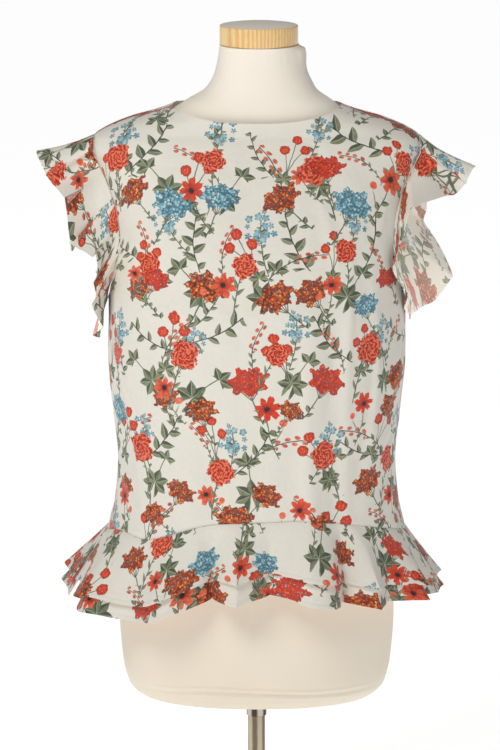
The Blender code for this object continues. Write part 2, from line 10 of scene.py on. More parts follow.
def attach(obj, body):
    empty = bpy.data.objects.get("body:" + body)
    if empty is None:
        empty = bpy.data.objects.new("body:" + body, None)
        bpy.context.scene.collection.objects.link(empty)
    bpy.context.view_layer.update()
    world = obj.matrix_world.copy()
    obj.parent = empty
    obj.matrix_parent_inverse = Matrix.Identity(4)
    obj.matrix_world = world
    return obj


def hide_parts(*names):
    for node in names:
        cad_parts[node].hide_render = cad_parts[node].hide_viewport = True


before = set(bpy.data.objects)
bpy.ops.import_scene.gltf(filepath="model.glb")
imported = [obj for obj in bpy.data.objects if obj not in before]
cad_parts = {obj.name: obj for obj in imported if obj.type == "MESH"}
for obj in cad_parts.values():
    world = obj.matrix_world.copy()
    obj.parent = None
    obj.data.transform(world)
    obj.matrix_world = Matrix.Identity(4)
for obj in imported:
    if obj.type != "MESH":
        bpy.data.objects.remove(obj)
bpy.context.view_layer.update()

mm = 0.001
rootBody = "root"
hipHeight = 210.0        # height of the hip datum above the floor; the cloth tables below start from it

view = {
    "target": (-0.008, 0.0, 0.589),
    "distance": 5.5,
    "elevation": 11.4,
    "lens": 220.0,
}
lampAim = (0, 0, 0.6)
lamps = {    # place, size, power, colour
    "keyLight": ((-1.1, -1.9, 2.6), (1.3, 1.1), 36.5, (1, 0.985, 0.955)),
    "topLight": ((-0.1, -1.2, 1.95), (0.7, 0.5), 2.0, (1, 1, 0.985)),
    "fillLight": ((3.2, -2.6, 1.4), (2.0, 2.0), 1, (0.96, 0.98, 1)),
}
backdrop = {
    "light": 0.26, "seen": 0.84,    # seen is added for the camera
    "floorGlow": 0.73, "floorReach": 30,
}


def addObject(name, data):
    added = bpy.data.objects.new(name, data)
    bpy.context.scene.collection.objects.link(added)
    return added


def addCamera():
    lens = bpy.data.cameras.new("frontCamera")
    lens.lens = view["lens"]
    lens.sensor_width = 36.0
    camera = addObject("frontCamera", lens)
    rise = radians(view["elevation"])
    away = Vector((0, -cos(rise), sin(rise))) * view["distance"]
    camera.location = Vector(view["target"]) + away
    camera.rotation_euler = (radians(90) - rise, 0, 0)
    bpy.context.scene.camera = camera


def addLamp(name, place, size, power, colour):
    lamp = bpy.data.lights.new(name, "AREA")
    lamp.shape = "RECTANGLE"
    lamp.size, lamp.size_y = size
    lamp.energy = power
    lamp.color = colour
    holder = addObject(name, lamp)
    holder.location = place
    aim = Vector(lampAim) - Vector(place)
    holder.rotation_euler = aim.to_track_quat("-Z", "Y").to_euler()


def smoothStep(t):
    t = min(max(t, 0.0), 1.0)
    return t * t * (3 - 2 * t)


def curveThrough(table, column):
    # a smooth curve through one column of a table, level where the column turns back
    places = sorted(table)
    values = [table[place][column] for place in places]
    slopes = [0.0]
    for i in range(1, len(places) - 1):
        before = (values[i] - values[i - 1]) / (places[i] - places[i - 1])
        after = (values[i + 1] - values[i]) / (places[i + 1] - places[i])
        slopes.append(2 * before * after / (before + after) if before * after > 0 else 0.0)
    slopes.append(0.0)

    def read(place):
        place = min(max(place, places[0]), places[-1])
        i = min(bisect_right(places, place) - 1, len(places) - 2)
        span = places[i + 1] - places[i]
        t = (place - places[i]) / span
        return (values[i] + (values[i + 1] - values[i]) * t * t * (3 - 2 * t)
                + slopes[i] * span * t * (1 - t) ** 2 - slopes[i + 1] * span * t * t * (1 - t))

    return read


def foldSum(folds, place):
    return sum(lift * exp(-((place - at) / width) ** 2) for at, (width, lift) in folds.items())


def creaseSum(creases, x, z):
    # soft ridges with a shallow trough beside them, each along its own bowed line
    lift, ends = 0.0, cloth["creaseEnds"]
    trough, troughAt, troughWidth = cloth["creaseTrough"]
    for x1, z1, x2, z2, width, height, bow in creases:
        alongX, alongZ = x2 - x1, z2 - z1
        length = hypot(alongX, alongZ)
        along = ((x - x1) * alongX + (z - z1) * alongZ) / length ** 2
        away = ((x - x1) * alongZ - (z - z1) * alongX) / length - bow * 4 * along * (1 - along)
        away /= width * (1 + 0.25 * sin(7 * along + x1))
        if -ends < along < 1 + ends and abs(away) <= 4:
            fade = sin(pi * (along + ends) / (1 + 2 * ends)) ** 1.2
            dip = trough * exp(-((away - troughAt) / troughWidth) ** 2)
            lift += height * fade * (exp(-away ** 2) - dip)
    return lift


def ripple(x, y, z=0.0):
    return noise.noise(Vector((x, y, z)))


def softNoise(place, scale, seed):
    return noise.noise(Vector(place) / scale + Vector((seed, 2.3 * seed, 0.7 * seed)))


def raised(grid, liftAt):
    # every point moved along the grid's normal by what liftAt(row, column) gives
    lifted = []
    last = len(grid[0]) - 1
    for row, points in enumerate(grid):
        below, above = grid[max(row - 1, 0)], grid[min(row + 1, len(grid) - 1)]
        line = []
        for column, point in enumerate(points):
            along = points[min(column + 1, last)] - points[max(column - 1, 0)]
            normal = along.cross(above[column] - below[column]).normalized()
            line.append(point + normal * liftAt(row, column))
        lifted.append(line)
    return lifted


def turnedOver(columns):
    # rows from a list of columns
    return [list(row) for row in zip(*columns)]


def makeActive(piece):
    bpy.ops.object.select_all(action="DESELECT")
    bpy.context.view_layer.objects.active = piece
    piece.select_set(True)


cloth = {
    "wall": 0.8,
    "seamGap": 0.12,         # half of the gap between two sewn edges
    "seamRoll": 0.9,         # how far the cloth dips into a seam
    "armholeRoll": 0.25,
    "seamRollWidth": 3.0,
    "roundness": 2.4,
    "hemBand": (0.35, 4.7), "hemGroove": (-0.22, 5.1),    # lift, and where it lies from the free edge
    "hemPucker": (0.3, 5.5), "hemReach": 14,    # lift and length of a pucker, and how far they run up
    "creaseEnds": 0.2,       # share of a crease's length that it runs out over at each end
    "creaseTrough": (0.42, 1.7, 1.2),    # depth, place and width of the trough beside a crease
}

clothFinishes = []    # the outside and the inside of the cloth, filled in before the pieces are made


def clothPiece(name, grid, flatPlaces, wrapped=False, openCell=None):
    # thin wall on a grid of points, with the flat cut's places as its map
    build = bmesh.new()
    flatMap = build.loops.layers.uv.new("clothMap")
    corners = [[build.verts.new((p.x * mm, p.y * mm, (p.z + hipHeight) * mm)) for p in line] for line in grid]
    last = len(grid[0]) if wrapped else len(grid[0]) - 1
    for row in range(len(grid) - 1):
        for column in range(last):
            if openCell and openCell(row, column):
                continue
            after = (column + 1) % len(grid[0])
            places = ((row, column), (row, after), (row + 1, after), (row + 1, column))
            face = build.faces.new([corners[r][c] for r, c in places])
            face.smooth = True
            mapColumns = (column, column + 1, column + 1, column)
            for loop, (r, _), mapColumn in zip(face.loops, places, mapColumns):
                loop[flatMap].uv = flatPlaces[r][mapColumn]
    mesh = bpy.data.meshes.new(name)
    build.to_mesh(mesh)
    build.free()
    for finish in clothFinishes:
        mesh.materials.append(finish)
    piece = addObject(name, mesh)
    wall = piece.modifiers.new("wall", "SOLIDIFY")
    wall.thickness = cloth["wall"] * mm
    wall.offset = -1
    wall.material_offset = 1
    makeActive(piece)
    bpy.ops.object.modifier_apply(modifier=wall.name)
    return piece


# the blouse's body: front and back panels, in millimetres above the hip datum
bodice = {
    "shape": {    # height: (half width, front depth, back depth)
        150: (186, 152, 134), 191: (180, 150, 132), 231: (171, 149, 127), 282: (167, 149, 122),
        340: (172, 150, 118), 410: (178, 152, 117), 471: (177, 151, 118), 500: (177, 146, 119),
        540: (178, 138, 120), 580: (180, 124, 119), 620: (185, 103, 112), 645: (193, 87, 103),
        658: (198, 78, 95), 669: (194, 70, 89), 677: (183, 64, 84), 690: (153, 59, 77),
        698: (124, 57, 73), 707: (100, 55, 70), 719: (82, 53, 66),
    },
    "folds": [    # angle, width, low end, high end, lift
        (-66, 7, 250, 420, -4), (-52, 6, 190, 330, 4), (-20, 6, 190, 380, -3), (24, 5, 200, 520, 4),
        (35, 5, 190, 560, -4), (58, 7, 230, 440, 4), (130, 8, 190, 420, 4), (157, 7, 190, 360, -3),
        (196, 8, 190, 400, 4), (232, 7, 190, 340, -3),
    ],
    "waistSags": {-44: (20, -22), 14: (10, 3)},
    "hemSide": 191.0, "hemFront": 231.0, "hemBack": 200.0,
    "underarm": 471.0,
    "shoulderTip": 193.0, "neckPoint": 100.0,
    "shoulderSearch": (666.0, 719.0),    # the heights that the shoulder seam lies between
    "neckFront": 691.5, "neckBack": 699.5, "neckCurve": 2.6,
    "armholeScoop": radians(28),
    "shoulderHold": 120.0,
    "neckShare": 2 / 3,      # share of a half panel's columns that end at the neckline
    "halfColumns": 72,
    "lowRows": 84, "highRows": 72,
    "rowCrowding": 1.7,
    "keyholeLength": 90.0, "keyholeEdge": 1.5, "keyholeSwell": 3.5, "keyholeFade": 14,
    "seamCalm": 14, "topCalm": 20,    # how soon waves and creases grow away from the seams and the top edge
    "broadWave": (1.4, 46), "fineWave": (0.5, 19),    # lift, breadth
    "anglePitch": 2.8,       # millimetres of cloth to a degree round the body
    "columnPitch": 3.0,
}

halfWidthAt = curveThrough(bodice["shape"], 0)
depthAt = {"front": curveThrough(bodice["shape"], 1), "back": curveThrough(bodice["shape"], 2)}


def rounded(value):
    return copysign(abs(value) ** (2 / cloth["roundness"]), value)


def shoulderHeight(halfWidth):
    low, high = bodice["shoulderSearch"]
    for _ in range(40):
        middle = (low + high) / 2
        if halfWidthAt(middle) > halfWidth:
            low = middle
        else:
            high = middle
    return low


tipHeight = shoulderHeight(bodice["shoulderTip"])
neckPointHeight = shoulderHeight(bodice["neckPoint"])


def topEdgeHeight(side, x):
    if x >= bodice["neckPoint"]:
        return shoulderHeight(x)
    centre = bodice["neckFront"] if side == "front" else bodice["neckBack"]
    return centre + (neckPointHeight - centre) * (x / bodice["neckPoint"]) ** bodice["neckCurve"]


def topEdgeX(reach):
    if reach < bodice["neckShare"]:
        return bodice["neckPoint"] * sin(reach / bodice["neckShare"] * pi / 2)
    share = (reach - bodice["neckShare"]) / (1 - bodice["neckShare"])
    return bodice["neckPoint"] + (bodice["shoulderTip"] - bodice["neckPoint"]) * share


def hemHeight(side, across):
    turn = across * pi / 2
    if side == "back":
        return bodice["hemSide"] + (bodice["hemBack"] - bodice["hemSide"]) * cos(turn)
    level = bodice["hemSide"] + (bodice["hemFront"] - bodice["hemSide"]) * cos(turn)
    return level + foldSum(bodice["waistSags"], degrees(turn)) * cos(turn)


def sideEdge(height):
    share = (height - bodice["underarm"]) / (tipHeight - bodice["underarm"])
    if share <= 0 or share >= 1:
        return pi / 2
    return pi / 2 - bodice["armholeScoop"] * sin(pi * share ** 0.9) ** 0.95


def bodyFolds(angle, height):
    lift = 0.0
    for at, width, low, high, peak in bodice["folds"]:
        share = (height - low) / (high - low)
        if share < 1:
            lift += peak * smoothStep(3 * (1 - share)) * exp(-((angle - at) / width) ** 2)
    return lift


topEdges = {}


def bodicePoint(side, across, rise):
    reach = abs(across)
    if (side, reach) not in topEdges:
        topX = topEdgeX(reach)
        topEdges[side, reach] = (topX, topEdgeHeight(side, topX))
    topX, top = topEdges[side, reach]
    hem = hemHeight(side, across)
    height = hem + (top - hem) * rise
    halfWidth = halfWidthAt(height)
    edge = sideEdge(bodice["hemSide"] + (tipHeight - bodice["hemSide"]) * rise)
    ringX = halfWidth * rounded(sin(reach * edge))
    hold = 1 - smoothStep((top - height) / bodice["shoulderHold"])
    x = min(ringX + (topX - ringX) * hold, halfWidth * rounded(sin(edge)))
    fullness = (1 - min(x / halfWidth, 1) ** cloth["roundness"]) ** (1 / cloth["roundness"])
    out = depthAt[side](height) * fullness
    turn = degrees(atan2(x, out))
    angle = copysign(turn, across) if side == "front" else 180 - copysign(turn, across)
    out = max(out + bodyFolds(angle, height) * fullness, cloth["seamGap"])
    return Vector((copysign(x, across), -out if side == "front" else out, height))


def panelRises():
    underarm = (bodice["underarm"] - bodice["hemSide"]) / (tipHeight - bodice["hemSide"])
    low, high = bodice["lowRows"], bodice["highRows"]
    rises = [underarm * row / low for row in range(low + 1)]
    for row in range(1, high + 1):
        rises.append(1 - (1 - underarm) * (1 - row / high) ** bodice["rowCrowding"])
    return rises


def flatPanel(grid, middle):
    # places in the flat cut: heights run up each column, widths out from the middle column
    heights = [[0.0] * len(grid[0]) for _ in grid]
    for column in range(len(grid[0])):
        heights[0][column] = grid[0][column].z
        for row in range(1, len(grid)):
            step = (grid[row][column] - grid[row - 1][column]).length
            heights[row][column] = heights[row - 1][column] + step
    flat = []
    for row, line in enumerate(grid):
        widths = [0.0] * len(line)
        for way in (1, -1):
            column = middle + way
            while 0 <= column < len(line):
                step = (line[column] - line[column - way]).length
                rise = heights[row][column] - heights[row][column - way]
                flatStep = sqrt(max(step * step - rise * rise, 0.0))
                widths[column] = widths[column - way] + way * flatStep
                column += way
        flat.append([(widths[c] * mm, heights[row][c] * mm) for c in range(len(line))])
    return flat


def makeBodice(side, creases, seed):
    half = bodice["halfColumns"]
    steps = [column / half for column in range(-half, half + 1)]
    grid = []
    for rise in panelRises():
        line = []
        for step in steps:
            point = bodicePoint(side, step, rise)
            if side == "back":
                share = (bodice["neckBack"] - point.z) / bodice["keyholeLength"]
                edge = bodice["keyholeEdge"]
                if 0 < share < 1:
                    edge += bodice["keyholeSwell"] * sin(pi * share) ** 2
                if step == 0:
                    line.append(Vector((-edge, point.y, point.z)))
                    point.x = edge
                elif share < 1.3:
                    point.x += copysign(edge * exp(-abs(point.x) / bodice["keyholeFade"]), point.x)
            line.append(point)
        if side == "back":
            line.reverse()
        grid.append(line)
    flat = flatPanel(grid, half)
    (broadLift, broad), (fineLift, fine) = bodice["broadWave"], bodice["fineWave"]

    def lift(row, column):
        point = grid[row][column]
        x = degrees(atan2(point.x, abs(point.y))) * bodice["anglePitch"]
        fromSide = min(column, len(grid[row]) - 1 - column) * bodice["columnPitch"]
        fromSeam = min(point.z - grid[0][column].z, fromSide)
        depth = cloth["seamRoll"] if point.z < bodice["underarm"] else cloth["armholeRoll"]
        fromTop = grid[-1][column].z - point.z
        give = smoothStep(fromSeam / bodice["seamCalm"]) * smoothStep(fromTop / bodice["topCalm"])
        waves = broadLift * softNoise((x, 0, point.z * 0.45), broad, seed)
        waves += fineLift * softNoise((x, 0, point.z), fine, seed)
        roll = depth * exp(-(fromSeam / cloth["seamRollWidth"]) ** 2)
        return give * (waves + creaseSum(creases, x, point.z)) - roll

    grid = raised(grid, lift)

    def inKeyhole(row, column):
        return column == half and grid[row][half].z > bodice["neckBack"] - bodice["keyholeLength"]

    return clothPiece(side + "Bodice", grid, flat, openCell=inKeyhole if side == "back" else None)


# bowed creases: where each starts and ends across and up the panel, its width, lift and bow
frontCreases = [
    (-196, 480, -96, 300, 7, 2.4, 14), (-204, 452, -150, 250, 6, 2.0, -8), (-186, 560, -120, 470, 5, 1.5, 9),
    (-214, 400, -160, 372, 4, 1.6, 4), (-218, 350, -140, 300, 5, 1.8, -6), (-210, 300, -152, 236, 5, 1.6, 5),
    (-120, 430, -70, 200, 9, 1.9, 10), (-60, 330, -26, 190, 8, 1.6, -6), (-170, 640, -90, 600, 6, 1.0, 6),
    (100, 600, 92, 330, 8, 2.5, -9), (122, 560, 112, 230, 7, 2.8, 8), (146, 520, 138, 250, 6, 2.2, -6),
    (60, 420, 74, 190, 8, 1.8, 7), (206, 470, 150, 330, 6, 2.3, -9), (216, 420, 170, 366, 5, 1.7, 5),
    (210, 350, 158, 268, 5, 1.9, -5), (204, 300, 176, 200, 6, 1.6, 4), (20, 300, 12, 190, 9, 1.3, 3),
    (180, 600, 110, 520, 6, 1.5, -8),
]
backCreases = [
    (-190, 470, -110, 320, 7, 2.3, 10), (-206, 430, -150, 300, 6, 1.9, -7), (-130, 560, -112, 260, 8, 2.2, 9),
    (-80, 480, -92, 210, 8, 2.0, -8), (-40, 380, -30, 190, 9, 1.6, 5), (-212, 340, -158, 250, 5, 1.7, 5),
    (36, 420, 28, 200, 9, 1.8, -6), (88, 520, 96, 240, 8, 2.2, 8), (140, 500, 122, 230, 7, 2.1, -7),
    (196, 466, 128, 330, 6, 2.2, -10), (208, 390, 156, 310, 5, 1.8, 6), (212, 300, 166, 220, 5, 1.6, -4),
    (170, 610, 100, 560, 6, 1.2, 7), (-176, 620, -110, 560, 6, 1.2, -6),
]

sleeves = {
    "left": {
        "fluteRound": 0.4,      # how far the sides of a flute lean over
        "flounce": {    # round the armhole from the underarm, up the front: depth, drop, turn
            0.00: (47, 79, 0), 0.05: (51, 78, 4), 0.10: (49, 71, 12), 0.15: (47, 65, 20), 0.20: (48, 58, 26),
            0.26: (50, 52, 28), 0.325: (78, 44, 14), 0.385: (56, 44, 26), 0.42: (58, 36, 20),
            0.46: (65, 27, 10), 0.50: (71, 19, 0), 0.56: (66, 26, -25), 0.64: (58, 38, -48),
            0.76: (54, 48, -52), 0.88: (48, 66, -30), 1.00: (47, 79, 0),
        },
        "folds": {    # along: width, lift
            0.045: (0.022, 7), 0.095: (0.02, -8), 0.145: (0.022, 8), 0.20: (0.022, 10), 0.26: (0.022, -19),
            0.325: (0.022, 24), 0.385: (0.023, -22), 0.44: (0.030, 8), 0.51: (0.020, -4), 0.57: (0.028, 11),
            0.635: (0.028, -14), 0.70: (0.028, 14), 0.77: (0.030, -12), 0.84: (0.028, 11), 0.90: (0.026, -6),
        },
    },
    "right": {
        "fluteRound": 0.4,
        "flounce": {
            0.00: (24, 80, 0), 0.08: (28, 80, 20), 0.14: (32, 76, 44), 0.20: (38, 68, 74), 0.28: (44, 60, 87),
            0.345: (46, 53, 85), 0.39: (50, 44, 66), 0.42: (58, 37, 36), 0.455: (68, 35, 12),
            0.50: (74, 33, 0), 0.56: (66, 37, -30), 0.62: (58, 42, -56), 0.71: (62, 45, -40),
            0.79: (98, 42, -6), 0.85: (82, 48, -4), 0.92: (48, 66, -6), 1.00: (24, 80, 0),
        },
        "folds": {
            0.10: (0.026, -4), 0.16: (0.026, 5), 0.23: (0.026, -5), 0.30: (0.026, 8),
            0.365: (0.024, -14), 0.425: (0.022, 13), 0.477: (0.02, -11), 0.53: (0.022, 9),
            0.60: (0.028, -14), 0.67: (0.028, 11), 0.735: (0.026, -9), 0.80: (0.026, 11),
            0.87: (0.026, -8),
        },
    },
    "columns": 320, "rows": 22,
    "innerRadius": 110.0,    # of the flat ring that the flounce is cut from
    "mapShift": {"left": 0.137, "right": 0.182},    # metres between the ring's middle and the print's start
    "gather": 1.0, "gatherFade": 16, "gathersRound": 46,
    "bow": 2.2,              # how far the cloth stands out half way down
    "seamClear": 0.15, "wallClear": 1.1,    # gap to the bodice, in millimetres and in walls
    "edgeSteps": 200,        # up one side of the armhole, to measure it
    "slopeStep": 0.004,      # share of the armhole over which a fold's slope is read
}
hemRows = (8.5, 7.0, 5.9, 5.4, 5.0, 4.6, 3.4, 1.8, 0.6, 0.0)    # millimetres from the free edge
seamRows = (0.0, 1.2, 2.6)


def edgeShares(depth, rows):
    # rows from the seam to the free edge, close together along the turned hem
    plain = depth - hemRows[0] - seamRows[-1]
    inner = [seamRows[-1] + plain * step / rows for step in range(1, rows + 1)]
    return list(seamRows) + inner + [depth - left for left in hemRows[1:]]


def hemLift(left, along, seed):
    # raised band of the turned hem with its stitched groove and small puckers
    reach = cloth["hemReach"]
    if left > reach:
        return 0.0
    (bandLift, bandEdge), (grooveLift, groove) = cloth["hemBand"], cloth["hemGroove"]
    puckerLift, pucker = cloth["hemPucker"]
    band = bandLift * (1 - smoothStep((left - bandEdge) / 0.8))
    band += grooveLift * exp(-((left - groove) / 0.5) ** 2)
    return band + puckerLift * ripple(along / pucker, seed) * (1 - smoothStep(left / reach))


def gathers(table, place, seed, distance):
    # small puckers that fade with the distance from the seam
    pucker = table["gather"] * ripple(place, seed)
    return pucker * exp(-distance / table["gatherFade"]) * smoothStep(distance / 4)


def foldTuck(table, place, near, pitch):
    # how far the sides of a fold lean over, from its lift and its slope
    slope = foldSum(table["folds"], place + near) - foldSum(table["folds"], place - near)
    return table["fluteRound"] * foldSum(table["folds"], place) * slope / (2 * near * pitch)


def armholePoints(hand, count):
    across = -1 if hand == "left" else 1
    steps = sleeves["edgeSteps"]
    low, high, hem = bodice["underarm"], tipHeight, bodice["hemSide"]
    edge = []
    for side, order in (("front", range(steps + 1)), ("back", range(steps, -1, -1))):
        for step in order:
            edge.append(bodicePoint(side, across, (low + (high - low) * step / steps - hem) / (high - hem)))
    gaps = ((after - before).length for before, after in zip(edge, edge[1:]))
    lengths = list(accumulate(gaps, initial=0.0))
    spaced = []
    index = 0
    for column in range(count):
        target = lengths[-1] * (column + 0.5) / count
        while lengths[index + 1] < target:
            index += 1
        share = (target - lengths[index]) / (lengths[index + 1] - lengths[index])
        spaced.append(edge[index].lerp(edge[index + 1], share))
    return spaced, lengths[-1]


def makeSleeve(hand, seed):
    table = sleeves[hand]
    depthOf, dropOf, turnOf = (curveThrough(table["flounce"], column) for column in range(3))
    count = sleeves["columns"]
    outward = -1 if hand == "left" else 1
    seam, around = armholePoints(hand, count)
    columns = []
    for column in range(count):
        along = (column + 0.5) / count
        drop, turn = radians(dropOf(along)), radians(turnOf(along))
        depth = depthOf(along)
        ahead = Vector((outward * cos(turn), -sin(turn), 0))
        fall = ahead * cos(drop) - Vector((0, 0, sin(drop)))
        alongSeam = seam[(column + 1) % count] - seam[column - 1]
        face = alongSeam.cross(fall).normalized() * outward
        clear = 2 * cloth["seamGap"] + sleeves["seamClear"] + sleeves["wallClear"] * cloth["wall"] * sin(drop)
        lift = foldSum(table["folds"], along)
        tuck = foldTuck(table, along, sleeves["slopeStep"], around)
        sideways = alongSeam.normalized()
        line = []
        for distance in edgeShares(depth, sleeves["rows"]):
            share = distance / depth
            out = lift * share ** 1.2 + gathers(sleeves, along * sleeves["gathersRound"], seed, distance)
            out += sleeves["bow"] * sin(pi * share)
            out += hemLift(depth - distance, along * around * 1.6, seed)
            line.append(seam[column] + ahead * clear + fall * distance + face * out
                        + sideways * tuck * share ** 1.5)
        columns.append(line)
    rows = turnedOver(columns)
    radius, shift = sleeves["innerRadius"], sleeves["mapShift"][hand]
    flatColumns = []
    for column in range(count + 1):
        along = (column + 0.5) / count
        angle = (along - 0.5) * around / radius
        reaches = [radius + distance for distance in edgeShares(depthOf(min(along, 1)), sleeves["rows"])]
        across, down = sin(angle) * mm, cos(angle) * mm
        flatColumns.append([(reach * across, reach * down + shift) for reach in reaches])
    flat = turnedOver(flatColumns)
    if hand == "right":
        rows.reverse()
        flat.reverse()
    return clothPiece("sleeve" + hand.capitalize(), rows, flat, wrapped=True)


peplum = {
    "upper": {    # angle from the front centre: depth, flare
        -90: (78, 36), -72: (84, 31), -55: (84, 26), -25: (74, 19), -14: (67, 17), -5: (69, 18), 3: (64, 17),
        20: (70, 20), 30: (69, 19), 40: (74, 21), 60: (73, 27), 90: (71, 33), 105: (76, 29), 130: (80, 25),
        180: (78, 20), 225: (80, 28), 250: (80, 41), 270: (78, 36),
    },
    "lower": {
        -90: (98, 31), -72: (104, 25), -55: (102, 21), -25: (96, 16), -14: (90, 14), -5: (96, 15),
        3: (88, 14), 20: (99, 17), 30: (92, 15), 40: (97, 18), 60: (91, 23), 90: (89, 29), 105: (95, 26),
        130: (101, 21), 180: (99, 17), 225: (101, 24), 250: (100, 36), 270: (98, 31),
    },
    "folds": {
        -84: (6, -15), -66: (8, 12), -47: (6, -9), -32: (8, 14), -14: (5, -18), -5: (4, 15),
        3: (4, -15), 20: (6, 17), 31: (3.6, -25), 41: (5, 19), 53: (6, -14), 65: (6, 14), 78: (6, -14),
        101: (6, 12), 118: (6, -13), 132: (7, 13), 147: (6, -12), 161: (6, 13), 175: (6, -12),
        190: (7, 13), 206: (6, -12), 221: (7, 12), 237: (6, -13), 254: (6, 13),
    },
    "tierGap": 1.7,
    "fluteRound": 0.3,
    "gather": 1.1, "gatherFade": 15, "gatherPitch": 3.1,
    "columnPitch": 2.0,
    "degree": 3.0,           # millimetres of cloth to a degree round the waist
    "mapDrop": 0.3,          # metres of print between the upper tier's seam and the lower one's
    "columns": 280, "rows": 22,
}


tierCurves = {tier: [curveThrough(peplum[tier], column) for column in (0, 1)] for tier in ("upper", "lower")}


def tierShape(tier, angle):
    depth, flare = (curve(angle) for curve in tierCurves[tier])
    return depth, radians(flare)


def peplumOut(tier, angle, distance):
    # how far a tier stands out at a distance down its own cloth, and how far it has fallen
    depth, flare = tierShape(tier, angle)
    out = distance * sin(flare) + foldSum(peplum["folds"], angle) * (distance / depth) ** 1.2
    return out, distance * cos(flare)


def makePeplum(side, tier, seed):
    first = -90 if side == "front" else 90
    count = peplum["columns"]
    columns, flat = [], []
    spot, before = 0.0, None
    for column in range(count + 1):
        shareAcross = 2 * column / count - 1
        across = shareAcross if side == "front" else -shareAcross
        seam = bodicePoint(side, across, 0)
        nearby = bodicePoint(side, across * 0.98 + 0.01, 0) - bodicePoint(side, across * 0.98 - 0.01, 0)
        outward = Vector((-nearby.y, nearby.x, 0)).normalized()
        if outward.dot(Vector((seam.x, seam.y, 0))) < 0:
            outward = -outward
        if abs(across) == 1:
            outward = Vector((across, 0, 0))
        angle = first + 180 * column / count
        depth, _ = tierShape(tier, angle)
        depthUpper, flareUpper = tierShape("upper", angle)
        fromSide = min(column, count - column) * peplum["columnPitch"]
        tuck = foldTuck(peplum, angle, 0.5, peplum["degree"])
        line = []
        distances = edgeShares(depth, peplum["rows"])
        for distance in distances:
            out, fall = peplumOut(tier, angle, distance)
            if tier == "lower":
                limit, _ = peplumOut("upper", angle, min(fall / cos(flareUpper), depthUpper))
                past = max(fall - depthUpper * cos(flareUpper), 0)
                out = min(out, limit + past * tan(flareUpper)) - peplum["tierGap"]
            roll = cloth["seamRoll"] * exp(-(min(distance, fromSide) / cloth["seamRollWidth"]) ** 2)
            out += gathers(peplum, angle / peplum["gatherPitch"], 1.5, distance) - roll
            out += hemLift(depth - distance, angle * 3.4, seed)
            lean = tuck * (distance / depth) ** 1.5 * smoothStep(fromSide / 30)
            sideways = outward.cross(Vector((0, 0, -lean)))
            line.append(seam + outward * out + sideways - Vector((0, 0, fall + 2 * cloth["seamGap"])))
        middle = line[len(line) // 2]
        if before is not None:
            spot += (middle - before).length
        before = middle
        flat.append([(spot * mm, peplum["mapDrop"] * seed - distance * mm) for distance in distances])
        columns.append(line)
    rows, flatRows = turnedOver(columns), turnedOver(flat)
    rows.reverse()
    flatRows.reverse()
    return clothPiece("peplum" + tier.capitalize() + side.capitalize(), rows, flatRows)


form = {
    "shape": {    # height: (half width, front depth, back depth)
        -12: (126, 88, 88), -7: (142, 103, 101), 6: (155, 115, 113), 34: (162, 122, 120),
        90: (166, 130, 127), 170: (158, 126, 121), 240: (138, 108, 104), 300: (122, 94, 90),
        360: (126, 100, 94), 430: (140, 124, 104), 480: (148, 138, 108), 530: (152, 130, 111),
        580: (158, 110, 111), 620: (167, 90, 104), 644: (176, 74, 92), 659: (179, 62, 81),
        669: (173, 56, 74), 681: (146, 52, 69), 689: (122, 50, 66), 699: (104, 50, 64),
        707: (91, 49, 62), 712: (84.5, 49, 61.5), 716: (77, 48.5, 61), 720: (70, 48, 60),
        725: (63.5, 48, 58), 748: (52, 47, 54), 778: (47, 45, 48),
    },
    "around": 160,
    "edgeStep": 1.0, "bodyStep": 4.0, "edgeBand": 42.0,
    "neckShift": 3.0,
    "topGather": 0.5,
    "neckReach": 110, "hemReach": 30,    # how far down the neck, and up from the hem, the cover is uneven
    "neckBulges": [(88, 24, 770, 15, 6.5), (90, 46, 734, 27, 5.0)],    # angle, width, height, tall, out
    "neckFolds": [(70, 4, 0.9), (82, 3, -1.3), (93, 4, 1.1), (104, 4, -0.9), (-96, 5, 0.7), (-80, 4, -0.6)],
    "hemRidges": [(7.0, 1.7, 1.7), (11.5, 1.5, -1.4), (16.0, 1.7, 1.4)],    # height, width, out
}


def formHeights():
    low, high = min(form["shape"]), max(form["shape"])
    heights = [low]
    while heights[-1] < high - 0.01:
        nearEnd = min(heights[-1] - low, high - heights[-1]) < form["edgeBand"]
        heights.append(min(heights[-1] + (form["edgeStep"] if nearEnd else form["bodyStep"]), high))
    return heights


def formLift(angle, height):
    # the stretched cover: bunched at one side of the neck, gathered under the cap, ridged at its elastic hem
    below = max(form["shape"]) - height
    lift = 0.0
    if below < form["neckReach"]:
        for at, width, middle, tall, out in form["neckBulges"]:
            lift += out * exp(-((angle - at) / width) ** 2 - ((height - middle) / tall) ** 2)
        near = exp(-below / 22)
        lift += near * sum(out * exp(-((angle - at) / width) ** 2) for at, width, out in form["neckFolds"])
        lift += form["topGather"] * near * ripple(angle / 4.5, height / 30, 2)
        lift *= smoothStep(below / 5)
    if height < form["hemReach"]:
        ahead = exp(-(angle / 42) ** 2) + 0.5 * exp(-((abs(angle) - 180) / 50) ** 2)
        shift = 5 * exp(-((angle + 14) / 22) ** 2) + 0.8 * ripple(angle / 14, 3)
        for at, width, out in form["hemRidges"]:
            lift += out * ahead * exp(-((height - at - shift) / width) ** 2)
    return lift


